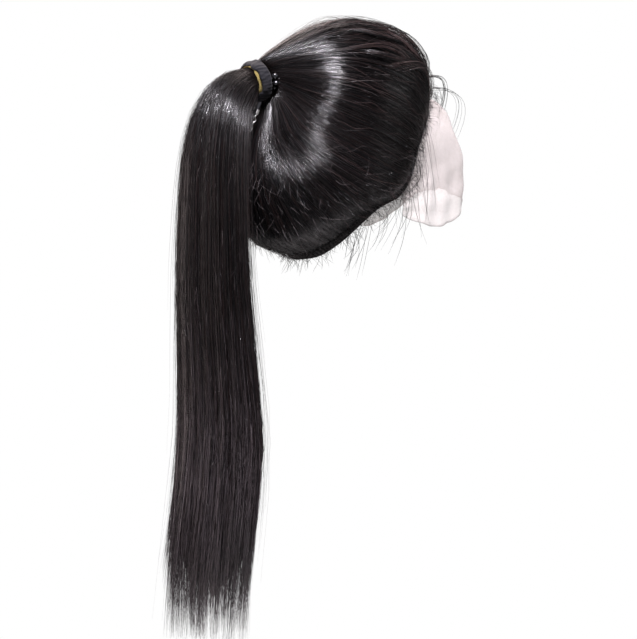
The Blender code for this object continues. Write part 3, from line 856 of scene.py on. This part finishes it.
def build_tail_mass(surface):
    """The body of the ponytail, from inside the band to its thinning end."""
    turns = np.arange(288) / 288
    drops = TAIL_START + (TAIL_MASS_END - TAIL_START) * np.linspace(0, 1, 80) ** 1.35
    drawn_in = NECK_RADIUS * (0.94 - 0.05 * np.sin(TWO_PI * turns))
    rings = [
        band_point(turns, NECK_RADIUS * 0.5, FIT_GAP / 2),
        band_point(turns, NECK_RADIUS, FIT_GAP / 2),
        band_point(turns, drawn_in, BAND_WIDTH / 2 + LINING_SHOWS),
    ]
    ragged = tail_combing(turns, 9.0)
    for drop in drops:
        ending = smooth((drop - 0.76) / 0.20)
        out = (0.972 + tail_relief(turns, drop)) * (1 - ending * (0.44 + 0.26 * ragged))
        rings.append(tail_point(drop + 0.030 * ragged * ending**2, turns, out))
    lengths = np.concatenate([[-0.02, -0.01, 0.0], drops])
    return shell("ponytail_mass", np.stack(rings), surface, lengths)


def tip_lock(turn):
    """The number of the lock that a ponytail strand joins at its tip."""
    return np.round(turn * TIP_LOCKS + 0.35 * np.sin(turn * 40))


def tail_paths(rng, turn, out, ends, points):
    """Strands down the ponytail: from the band to their own ends, drawn together into tips."""
    each = (len(turn), 1)
    drop = column(ends) * np.linspace(0, 1, points) ** TAIL_CROWDING
    waves = rng.uniform(0.6, 2.0, each)
    phase = rng.uniform(0, 1, each)
    sway = rng.normal(0, 0.006, each) * np.sin(TWO_PI * (drop * waves + phase))
    drift = rng.normal(0, 0.014, each) * drop
    lock = column(tip_lock(turn) / TIP_LOCKS)
    drawn = 0.85 * smooth((drop - 0.62) / 0.46) * rng.uniform(0.35, 1.0, each)
    turns = mix(column(turn) + sway + drift, lock, drawn)
    held_out = 1 + 0.66 * smooth((drop - 0.84) / 0.22)
    thinned = 1 - 0.30 * smooth((drop - 0.90) / 0.16) * rng.uniform(0, 1, each)
    bow = 0.03 * np.sin(TWO_PI * (drop * waves * 1.7 + phase * 5)) * rng.uniform(0, 1, each)
    spread = column(out) * (1 + tail_relief(turns, drop)) * held_out * thinned + bow
    neck = band_point(turns, NECK_RADIUS * np.minimum(column(out), 1.0), BAND_WIDTH / 2)
    place = mix(neck, tail_point(drop, turns, spread), column(smooth(drop / 0.014)))
    flare = TIP_FLARE * rng.uniform(0, 1, each) ** 2 * smooth((drop - 0.78) / 0.30)
    place = place - FORWARD * column(flare * np.maximum(np.cos(TWO_PI * turns), 0.0))
    middle = tail_frame(np.clip(drop, TAIL_START, 1.0))[0]
    return place, unit((place - middle) * (1, 1, 0)), drop


def build_tail_strands(name, seed, surface):
    """Long straight strands over the ponytail, of uneven lengths that thin out its end."""
    rng = np.random.default_rng(seed)
    count, points = TAIL_STRANDS, 11
    turn = spread_turns(rng, count)
    out = rng.uniform(0.97, 1.03, count)
    inner = rng.uniform(0, 1, count) < 0.30
    out = np.where(inner, rng.uniform(0.35, 0.95, count), out)
    shortened = rng.uniform(0, 0.090, TIP_LOCKS + 1)[tip_lock(turn).astype(int) % TIP_LOCKS]
    longest = 1.0 + TIP_LENGTH / TAIL_DROP
    ends = longest - 0.22 * rng.uniform(0, 1, count) ** 1.5 - shortened
    short = (rng.uniform(0, 1, count) < 0.16) & ~inner
    ends = np.where(short, rng.uniform(0.55, 1.0, count), ends)
    paths, outward, drop = tail_paths(rng, turn, out, ends, points)
    shape = taper(points, 0.6, 0.16, TAIL_CROWDING) * mix(0.55, 1.0, smooth(drop / 0.05))
    widths = STRAND_WIDTH * rng.uniform(0.6, 1.2, (count, 1)) * shape
    return strands(name, paths, widths, outward, surface)


# Loose hairs.


def build_crown_flyaways(surface):
    """Fine hairs that lift off the combed crown in low arcs."""
    rng = np.random.default_rng(41)
    each, points = (420, 1), 11
    run = np.linspace(0, 1, points)
    anywhere = rng.uniform(0, 1, each)
    turn = np.where(rng.uniform(0, 1, each) < 0.60, rng.normal(0.0, 0.08, each), anywhere)
    root = rng.uniform(0.45, 1.0, each)
    length = rng.uniform(0.18, 0.45, each)
    arc = mix(0.0008, 0.0072, rng.uniform(0, 1, each) ** 1.8) * np.sin(math.pi * run**0.8)
    open_end = rng.uniform(0, 0.0026, each) * run**2
    wander = rng.normal(0, 0.014, each) * run + rng.normal(0, 0.003, each) * np.sin(run * 9)
    share = np.maximum(root - length * run, 0.02)
    paths, outward = on_crown(turn + wander, share, arc + open_end)
    widths = LOOSE_WIDTH * rng.uniform(0.6, 1.1, each) * taper(points, 0.8, 0.25)
    return strands("crown_flyaways", paths, widths, outward, surface)


def build_loose_locks(surface):
    """Small locks that have come loose over the front and the top of the crown."""
    rng = np.random.default_rng(57)
    locks, hairs, points = 18, 15, 12
    each = (locks * hairs, 1)

    def of_lock(values):
        return column(np.repeat(values, hairs))

    run = np.linspace(0, 1, points)
    turn = of_lock(rng.normal(0.0, 0.085, locks)) + rng.normal(0, 0.0026, each)
    swing = of_lock(rng.normal(0, 0.012, locks))
    sway = swing * np.sin(math.pi * run * of_lock(rng.uniform(0.8, 1.6, locks)))
    root = of_lock(rng.uniform(0.62, 1.0, locks)) + rng.normal(0, 0.012, each)
    length = of_lock(rng.uniform(0.24, 0.46, locks)) * rng.uniform(0.85, 1.1, each)
    arc = of_lock(rng.uniform(0.0030, 0.0115, locks)) * rng.uniform(0.45, 1.0, each)
    lift = arc * np.sin(math.pi * run) ** 0.8 - 0.0004
    paths, outward = on_crown(turn + sway, np.maximum(root - length * run, 0.05), lift)
    widths = STRAND_WIDTH * rng.uniform(0.6, 1.0, each) * taper(points, 0.5, 0.4)
    return strands("loose_locks", paths, widths, outward, surface)


def build_tail_flyaways(surface):
    """Fine hairs that stand off the ponytail's sides and end."""
    rng = np.random.default_rng(43)
    count, points = 540, 11
    turn = rng.uniform(0, 1, count)
    out = 1.0 + 0.16 * rng.uniform(0, 1, count) ** 2
    ends = rng.uniform(0.25, 1.08, count)
    paths, outward, _ = tail_paths(rng, turn, out, ends, points)
    stand = rng.uniform(0, 0.006, (count, 1)) * np.linspace(0, 1, points) ** 2
    widths = LOOSE_WIDTH * rng.uniform(0.6, 1.1, (count, 1)) * taper(points, 0.8, 0.25)
    return strands("ponytail_flyaways", paths + outward * column(stand), widths, outward, surface)


def build_strays(surface):
    """Hairs that lie across the combing, over the crown and down the ponytail."""
    rng = np.random.default_rng(45)
    above, below, points = (320, 1), (780, 1), 6
    run = np.linspace(0, 1, points)
    turn = rng.uniform(0, 1, above) + rng.normal(0, 0.022, above) * run
    share = rng.uniform(0.35, 1.0, above) - rng.uniform(0.05, 0.19, above) * run
    lift = 0.0002 + rng.uniform(0, 0.0018, above) * np.sin(math.pi * run)
    crown, crown_out = on_crown(turn, share, lift)
    drop = rng.uniform(0.10, 0.90, below) + rng.uniform(0.012, 0.055, below) * run
    turn = rng.uniform(0, 1, below) + rng.normal(0, 0.012, below) * run
    bow = 1.024 + 0.05 * np.sin(math.pi * run) * rng.uniform(0, 1, below)
    tail = tail_point(drop, turn, bow + tail_relief(turn, drop))
    tail_out = unit((tail - tail_frame(drop)[0]) * (1, 1, 0))
    paths, outward = np.concatenate([crown, tail]), np.concatenate([crown_out, tail_out])
    widths = LOOSE_WIDTH * rng.uniform(0.6, 1.1, (len(paths), 1)) * taper(points, 0.4, 0.25)
    return strands("stray_hairs", paths, widths, outward, surface)


def either_side(rng, count):
    """1 for the wearer's right or -1 for the left, at random."""
    return np.where(rng.uniform(0, 1, count) < 0.5, 1.0, -1.0)


def hanging_hairs(name, seed, points, root, heading, length, curl, surface):
    """Hairs that leave their roots along a heading, and swing out along curl at their middle."""
    rng = np.random.default_rng(seed)
    count = len(root)
    run = np.linspace(0, 1, points)[:, None]
    straight = root[:, None] + heading[:, None] * column(column(length)) * run
    jitter = rng.normal(0, 0.0012, (count, 1, 3)) * np.sin(run * rng.uniform(3, 7, (count, 1, 1)))
    paths = straight + curl[:, None] * np.sin(math.pi * run) + jitter * run
    outward = unit(np.cross(heading, (0.3, 0.2, 1.0)))[:, None]
    widths = LOOSE_WIDTH * rng.uniform(0.7, 1.1, (count, 1)) * taper(points, 0.9, 0.3)
    return strands(name, paths, widths, outward, surface)


def build_back_scruff(surface):
    """Short ends that stick out low at the back, where shorter hairs slip from the combing."""
    rng = np.random.default_rng(47)
    count = 520
    side = either_side(rng, count)
    turn = 0.5 - side * np.abs(rng.normal(0.05, 0.075, count))
    share = rng.uniform(0.45, 0.985, count)
    root, outward = on_crown(turn, share, -0.0006)
    onward = unit(crown_surface(turn, share + 0.01) - root)
    lean, aside = rng.uniform(0.02, 0.22, count), rng.normal(0, 0.9, count)
    heading = unit(onward + outward * column(lean) + np.cross(onward, outward) * column(aside))
    length = rng.uniform(0.006, 0.024, count)
    curl = outward * column(rng.normal(0, 0.0012, count))
    return hanging_hairs("back_scruff", 48, 6, root, heading, length, curl, surface)


def build_hairline_fuzz(surface):
    """Short fine hairs along the whole hairline, some combed up and some slipping down."""
    rng = np.random.default_rng(51)
    at_edge, above = 820, 420
    count = at_edge + above
    is_edge = np.arange(count) < at_edge
    turn = rng.uniform(0, 1, count)
    edge_root = on_flow(turn, rng.uniform(0.975, 1.0, count), CAP_WALL + 0.0004)
    upper_root = crown_surface(turn, rng.uniform(0.84, 0.965, count), -0.0004)
    root = np.where(column(is_edge), edge_root, upper_root)
    outward = unit(root - on_flow(turn, 1.0, -0.01))
    onward = unit(on_flow(turn, 1.0, CAP_WALL) - on_flow(turn, 0.97, CAP_WALL))
    lean = np.where(is_edge, 0.9, 0.25) * rng.uniform(0.05, 1.0, count)
    heading = unit(
        onward * column(rng.uniform(0.2, 1.0, count)) + outward * column(lean)
        + np.cross(onward, outward) * column(rng.normal(0, 0.5, count)) - UPWARD * 0.3
    )
    at_front = smooth((0.30 - np.abs((turn + 0.5) % 1.0 - 0.5)) / 0.04)
    length = rng.uniform(0.005, 0.019, count) * (1 - 0.50 * at_front)
    curl = outward * column(rng.normal(0, 0.0010, count))
    return hanging_hairs("hairline_fuzz", 52, 5, root, heading, length, curl, surface)


def build_baby_hairs(surface):
    """Soft hairs at the front hairline: short ones, and locks of long ones that arc out and down."""
    rng = np.random.default_rng(53)
    short, arcing, points = 94, 20, 15
    count, locks = short + arcing, len(BABY_LOCKS)
    is_short = np.arange(count) < short
    lock = rng.integers(0, locks, count)
    turn = np.where(is_short, rng.normal(0.0, 0.085, count), np.array(BABY_LOCKS)[lock])
    turn = turn + rng.normal(0, 0.0050, count)
    behind = np.where(is_short, 0.05 * rng.uniform(0, 1, count), rng.uniform(0.02, 0.11, locks)[lock])
    root = on_flow(turn, 1.0 - behind - rng.uniform(0, 0.012, count), CAP_WALL + 0.0006)
    outward = unit(root - on_flow(turn, 1.0, -0.01))
    forward = unit(FORWARD + RIGHT * column(turn * 5.0))
    uneven = rng.uniform(0.86, 1.0, count)

    def length(of_short, of_lock):
        """Lengths for all hairs: each short one's own, and a lock's for its arcing ones."""
        own = rng.uniform(*of_short, count)
        return column(column(np.where(is_short, own, rng.uniform(*of_lock, locks)[lock] * uneven)))

    reach = length((0.004, 0.016), (0.024, 0.041))
    rise = length((0.002, 0.006), (0.008, 0.016))
    fall = length((0.006, 0.022), (0.045, 0.080))
    bend = column(column(np.where(is_short, 0.55, rng.uniform(0.60, 0.80, locks)[lock])))
    run = np.linspace(0, 1, points)[:, None]
    paths = (
        root[:, None]
        + forward[:, None] * reach * np.sin(run * math.pi * bend)
        + outward[:, None] * rise * np.sin(run * math.pi)
        - UPWARD * fall * run**2
        + rng.normal(0, 0.0015, (count, 1, 3)) * run
    )
    widths = LOOSE_WIDTH * column(np.where(is_short, 0.85, 1.10)) * taper(points, 0.9, 0.25)
    upward = np.cross(np.cross(UPWARD, forward), FORWARD) + outward
    return strands("baby_hairs", paths, widths, upward[:, None], surface)


def build_temple_hairs(surface):
    """Long loose hairs that hang from the temples before the ears."""
    rng = np.random.default_rng(59)
    count = 26
    sides = either_side(rng, count)
    turn = rng.uniform(0.165, 0.268, count) * sides
    root = on_flow(turn, rng.uniform(0.95, 1.0, count), CAP_WALL + 0.0008)
    outward = unit(root - on_flow(turn, 1.0, -0.01))
    heading = unit(-UPWARD + outward * 0.10 + FORWARD * column(rng.normal(0.05, 0.10, count)))
    length = rng.uniform(0.025, 0.095, count)
    curl = outward * column(rng.uniform(0.001, 0.005, count))
    curl = curl + FORWARD * column(rng.normal(0, 0.004, count))
    return hanging_hairs("temple_hairs", 60, 14, root, heading, length, curl, surface)


def build_nape_wisps(surface):
    """Thin wisps that have slipped out round the nape and hang below it, a few hairs each."""
    rng = np.random.default_rng(61)
    wisps, hairs = 15, 5
    count = wisps * hairs

    def of_wisp(low, high):
        return np.repeat(rng.uniform(low, high, wisps), hairs)

    side = np.repeat(np.where(np.arange(wisps) % 2 == 0, 1.0, -1.0), hairs)
    turn = 0.5 - side * of_wisp(0.04, 0.22) + rng.normal(0, 0.005, count)
    root = on_flow(turn, rng.uniform(0.95, 1.0, count), CAP_WALL + 0.001)
    heading = unit(
        -UPWARD - FORWARD * column(of_wisp(0.10, 0.70) + rng.normal(0, 0.06, count))
        + RIGHT * column(side * of_wisp(-0.10, 0.12) + rng.normal(0, 0.04, count))
    )
    length = of_wisp(0.030, 0.095) * rng.uniform(0.55, 1.0, count)
    curl = FORWARD * column(of_wisp(-0.006, 0.009)) + RIGHT * column(of_wisp(-0.004, 0.004))
    return hanging_hairs("nape_wisps", 62, 16, root, heading, length, curl, surface)


# Cap and lace.


def build_cap(surface):
    """The net cap: a smooth dome whose inside steps over the rows that hold the hair."""
    turns = np.arange(144) / 144
    shares = np.linspace(0.02, 1.0, 34)
    rows = CAP_STEP_RISE * (1 + np.cos(TWO_PI * CAP_STEPS * shares)) / 2
    rings = [on_flow(turns, share, CAP_WALL) for share in shares]
    rings += [on_flow(turns, share, row) for share, row in zip(shares[::-1], rows[::-1])]
    return shell("cap_net", np.stack(rings), surface)


def build_lace(surface):
    """The sheer lace round the front hairline, softly rippled, with a hand-cut free edge."""
    columns, rows = 180, 26
    turn = np.linspace(-LACE["turn"][-1], LACE["turn"][-1], columns + 1)
    level = np.linspace(0, 1, rows + 1)
    cut = 1.0 - 0.010 * (1 + np.sin(turn * 61) * 0.6 + np.sin(turn * 143 + 1) * 0.4)
    turn, share = np.meshgrid(turn, level, indexing="ij")
    share = share * column(cut)
    place = lace_point(turn, share)
    near = lace_point(turn + 0.002, share) - place
    down = lace_point(turn, np.minimum(share + 0.01, 1.01)) - place
    outward = unit(np.cross(near, down))
    ripple = (
        0.0026 * np.sin(turn * 44 + share * 2.0)
        + 0.0013 * np.sin(turn * 97 - share * 4.0 + 1.0)
        + 0.0006 * np.sin(share * 23 + turn * 15)
    )
    place = place + outward * column(ripple * smooth(share / 0.5))
    index = np.arange(turn.size).reshape(turn.shape)
    corners = (index[:-1, :-1], index[1:, :-1], index[1:, 1:], index[:-1, 1:])
    quads = np.stack(corners, axis=-1).reshape(-1, 4)
    flat = np.stack(np.meshgrid(np.linspace(0, 1, columns + 1), level, indexing="ij"), axis=-1)
    uvs = flat.reshape(-1, 2)[quads]
    obj = mesh_object("lace_sheet", place.reshape(-1, 3), quads, uvs, surface)
    wall = obj.modifiers.new("wall", "SOLIDIFY")
    wall.thickness = LACE_WALL
    wall.offset = 0.0
    return obj


# The tie and its trim.


def ring_of_profile(name, turns, section, surface):
    """A ring round the tie's axis, through the (radius, along) pairs of a closed section."""
    rings = np.stack([band_point(turns, radius, along) for radius, along in section])
    return ring_shell(name, rings, surface)


def lining_bare(turn):
    """Where the lining shows past the cloth, from 0 where the cloth covers it to 1."""
    main = smooth((turn - 0.115) / 0.05) * smooth((0.375 - turn) / 0.04)
    speck = 0.6 * smooth((turn - 0.035) / 0.02) * smooth((0.085 - turn) / 0.02)
    return np.maximum(main, speck)


def build_band(surface):
    """The gathered cloth band: a padded ring whose cloth is drawn into small pleats."""
    turns = np.arange(260) / 260
    steps = 24
    pleats = ripples(71, 13, 44, 9)
    creases = ripples(72, 5, 13, 5)
    bare = lining_bare(turns)
    section = []
    for step in range(steps):
        angle = TWO_PI * step / steps
        across, out = math.cos(angle), math.sin(angle)
        square = 1 / max(abs(across), abs(out)) ** 0.55
        outer = smooth((out + 0.1) / 0.8)
        fold = 0.00042 * pleats(turns, across * 2.2) + 0.00050 * creases(turns, across * 3.0)
        edge = 0.00060 * creases(turns, 4.0) * across
        overhang = mix(0.0016, -0.0006, bare) * smooth(across)
        turned_in = (1 - bare) * 0.0012 * smooth((across - 0.3) / 0.7)
        padding = (1 + out * square * 0.92) * BAND_WALL / 2
        radius = BAND_RADIUS + padding + outer * (BAND_SWELL * out + fold) - turned_in
        section.append((radius, across * square * BAND_WIDTH / 2 * 0.93 + edge + overhang))
    return ring_of_profile("band_cloth", turns, section, surface)


def build_lining(surface):
    """The matte elastic that shows past the band's edge on the ponytail's side."""
    turns = np.arange(200) / 200
    waves = ripples(75, 5, 14, 5)
    ribs = ripples(76, 50, 80, 8)
    half = BAND_WIDTH / 2
    shows = LINING_SHOWS - 0.0006 + 0.0010 * lining_bare(turns) + 0.0003 * waves(turns, 0.0)
    inner = LINING_RADIUS
    outer = LINING_RADIUS + LINING_WALL + 0.00012 * ribs(turns, 0.0)
    section = (
        (outer, -half), (outer, half * 0.6), (outer, half + shows * 0.7),
        (outer - 0.0003, half + shows), (inner + 0.0003, half + shows),
        (inner, half + shows * 0.7), (inner, half * 0.5), (inner, -half),
    )
    return ring_of_profile("lining_elastic", turns, section, surface)


def wire_ring(name, centre, normal, long_axis, radius, stretch, surface):
    """A round wire bent into a closed ring, longer along long_axis where it is a link."""
    steps, sides = 48, 12
    short_axis = np.cross(normal, long_axis)
    around = TWO_PI * np.arange(steps) / steps
    at_middle = np.abs(np.cos(around)) < 1e-6
    straight = np.where(at_middle, 0.0, np.sign(np.cos(around))) * (stretch - 1) * radius
    spoke = long_axis * column(np.cos(around)) + short_axis * column(np.sin(around))
    middle = centre + spoke * radius + long_axis * column(straight)
    section = column(TWO_PI * np.arange(sides) / sides)
    rings = (
        middle[:, None]
        + spoke[:, None] * np.cos(section) * WIRE_RADIUS
        + normal * np.sin(section) * WIRE_RADIUS
    )
    return ring_shell(name, rings, surface)


def build_chain(surface):
    """The ring and the two links below the crimp, each with the node that it stands for."""
    down = np.array((0, math.sin(TAB_LEAN), -math.cos(TAB_LEAN)))
    across = np.array((1.0, 0, 0))
    outside = BAND_RADIUS + BAND_WALL + BAND_SWELL
    tab_top = band_point(TAB_TURN, outside, TAB_ALONG) + down * (FIT_GAP + TAB_WALL)
    crimp_top = tab_top + down * (TAB_LENGTH + FIT_GAP)
    eye_middle = crimp_top + down * (CRIMP_LENGTH + EYE_RADIUS - WIRE_RADIUS * 0.5)
    hold = 2 * WIRE_RADIUS + FIT_GAP
    ring_middle = eye_middle + down * (EYE_RADIUS + RING_RADIUS - hold)
    made = [(wire_ring("trim_ring", ring_middle, across, down, RING_RADIUS, 1.0, surface), "tie_ring")]
    long_half = LINK_RADIUS * LINK_STRETCH
    link_middle = ring_middle + down * (RING_RADIUS + long_half - hold)
    for index, normal in enumerate((np.cross(across, down), across), start=1):
        link = wire_ring(
            f"trim_link_{index}", link_middle, normal, down, LINK_RADIUS, LINK_STRETCH, surface
        )
        made.append((link, f"tie_link_{index}"))
        link_middle = link_middle + down * (2 * long_half - hold)
    return made


def build_beads(surface):
    """The round beads of the elastic, each drawn in a little at its two ends."""
    around = TWO_PI * np.arange(40) / 40
    made = []
    for index, bead in enumerate(BEADS, start=1):
        radius = bead["radius"]
        aside = BAND_RADIUS + BAND_WALL - BAND_SWELL + (radius + FIT_GAP) * math.cos(BEAD_SLANT)
        ahead = BAND_WIDTH / 2 + (radius + FIT_GAP) * math.sin(BEAD_SLANT)
        centre = band_point(bead["turn"], aside, -ahead)
        spoke = unit(band_point(bead["turn"], 1.0, 0.0) - band_point(bead["turn"], 0.0, 0.0))
        axis = unit(np.cross(TIE_AXIS, spoke))
        ring = TIE_AXIS * column(np.cos(around)) + np.cross(axis, TIE_AXIS) * column(np.sin(around))
        rings = []
        for angle in np.linspace(0.12, math.pi - 0.12, 25):
            pinch = 1 - 0.10 * math.cos(angle) ** 6
            rings.append(centre + (axis * math.cos(angle) * pinch + ring * math.sin(angle)) * radius)
        made.append((shell(f"trim_bead_{index}", np.stack(rings), surface), f"tie_bead_{index}"))
    return made


# Floor, light and camera.


def build_stage():
    """A wide pale floor well under the hair."""
    nodes = Nodes("floor")
    place = nodes.object_place()
    cloud = nodes.noise(place, 1.5, detail=2.0)
    outward = nodes.add("ShaderNodeVectorMath", {0: place}, operation="LENGTH").outputs["Value"]
    # The floor is painted darker towards its middle: painted shade that evens out the stronger
    # lamplight there.
    tone = nodes.ramp(nodes.maths("DIVIDE", outward, FLOOR_RADIUS), (0.20, 0.66), (1.0, 0.84))
    tone = nodes.blend(nodes.range(cloud, 0.0, 0.1), tone, (0.6, 0.6, 0.6))
    nodes.set(Base_Color=tone, Roughness=0.9)
    bpy.ops.mesh.primitive_circle_add(
        vertices=128, radius=FLOOR_RADIUS, fill_type="NGON", location=(0, 0, FLOOR_LEVEL)
    )
    floor = bpy.context.object
    floor.name = "floor"
    floor.data.materials.append(nodes.material)
    return floor


def build_surroundings():
    """Plain white all round, as the camera sees it, and dimmer as a light."""
    world = bpy.data.worlds.new("studio")
    world.use_nodes = True
    tree = world.node_tree
    sky = tree.nodes["Background"]
    sky.inputs["Color"].default_value = (1, 1, 1, 1)
    seen = tree.nodes.new("ShaderNodeLightPath").outputs["Is Camera Ray"]
    strength = tree.nodes.new("ShaderNodeMath")
    strength.operation = "MULTIPLY_ADD"
    tree.links.new(seen, strength.inputs[0])
    strength.inputs[1].default_value = 1.0 - AMBIENT
    strength.inputs[2].default_value = AMBIENT
    tree.links.new(strength.outputs[0], sky.inputs["Strength"])
    bpy.context.scene.world = world


def place_facing(data, target, azimuth, elevation, distance):
    """An object that looks at a target from an azimuth and elevation in degrees."""
    a, e = math.radians(azimuth), math.radians(elevation)
    back = Vector((math.sin(a) * math.cos(e), -math.cos(a) * math.cos(e), math.sin(e)))
    obj = bpy.data.objects.new(data.name, data)
    obj.location = target + back * distance
    obj.rotation_euler = back.to_track_quat("Z", "Y").to_euler()
    bpy.context.scene.collection.objects.link(obj)
    return obj


def build_lights():
    for row in LIGHTS:
        data = bpy.data.lights.new(row["name"], "AREA")
        data.shape = "RECTANGLE"
        data.size, data.size_y = row["size"]
        data.energy = row["power"]
        data.color = row["colour"]
        place_facing(data, LIGHT_TARGET, row["azimuth"], row["elevation"], row["distance"])


def build_camera():
    """The camera at the photograph's angle, as far off as its frame asks."""
    data = bpy.data.cameras.new("camera")
    data.sensor_width = SENSOR
    data.lens = SENSOR * CAMERA_DISTANCE / (METRES_PER_PIXEL * PHOTO_HEIGHT)
    bpy.context.scene.camera = place_facing(
        data, CAMERA_TARGET, CAMERA_AZIMUTH, CAMERA_ELEVATION, CAMERA_DISTANCE
    )


# The whole wig.


def show(piece, slot, *nodes):
    """Ties a piece to the wig's one body and hides the nodes that it stands for; its finish, the slot,
    is not used.
    """
    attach(piece, "root")
    if nodes:
        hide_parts(*nodes)
    return piece


def build_hair():
    crown = hair_mass_material("crown_hair", 22.0, 7.0)
    # The ponytail's hair is given a painted sheen that pales it towards its ends.
    tail = hair_mass_material("ponytail_hair", 16.0, 8.0, ends_sheen=True)
    combed = strand_material("combed_strands")
    hanging = strand_material("hanging_strands", brown=0.45, ends_sheen=True)
    loose = strand_material("loose_hairs", (0.34, 0.55), 0.60)
    # The stray hairs' pale grey colour is a painted glint.
    stray = strand_material("stray_hairs", (0.22, 0.45), 0.90, HAIR_STRAY_GLINT)
    locks = strand_material("loose_locks", (0.22, 0.45), 0.90, HAIR_LOOSE)
    show(build_crown_mass(crown), "hair", "crown_hair")
    show(build_tail_mass(tail), "hair", "ponytail")
    for index in (1, 2):
        show(build_crown_strands(f"crown_strands_{index}", 30 + index, combed), "hair")
        show(build_tail_strands(f"ponytail_strands_{index}", 34 + index, hanging), "hair")
    for surface, builders in (
        (locks, (build_loose_locks, build_crown_flyaways, build_hairline_fuzz)),
        (stray, (build_back_scruff, build_strays)),
        (loose, (build_tail_flyaways, build_baby_hairs, build_temple_hairs, build_nape_wisps)),
    ):
        for build in builders:
            show(build(surface), "hair")


def build_tie():
    dark = cloth_material("band_weave", (0.0018, 0.0018, 0.0036), (0.012, 0.0115, 0.020), (150, 34))
    yellow = cloth_material("lining_weave", (0.16, 0.12, 0.03), (0.38, 0.31, 0.12), (300, 40))
    silver = silver_material()
    show(build_band(dark), "tie_fabric", "tie_band")
    show(build_lining(yellow), "tie_lining", "tie_lining")
    for piece, node in build_chain(silver):
        show(piece, "silver", node)
    for piece, node in build_beads(bead_material()):
        show(piece, "beads", node)
    for node, surface in (("tie_tab", dark), ("tie_crimp", silver)):
        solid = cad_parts[node]
        solid.data.materials.clear()
        solid.data.materials.append(surface)


def main():
    build_hair()
    build_tie()
    show(build_cap(cap_material()), "net", "cap")
    lace = show(build_lace(lace_material()), "lace", "lace_front")
    build_stage()
    build_surroundings()
    build_lights()
    build_camera()
    bpy.context.scene.view_settings.view_transform = "Standard"


main()
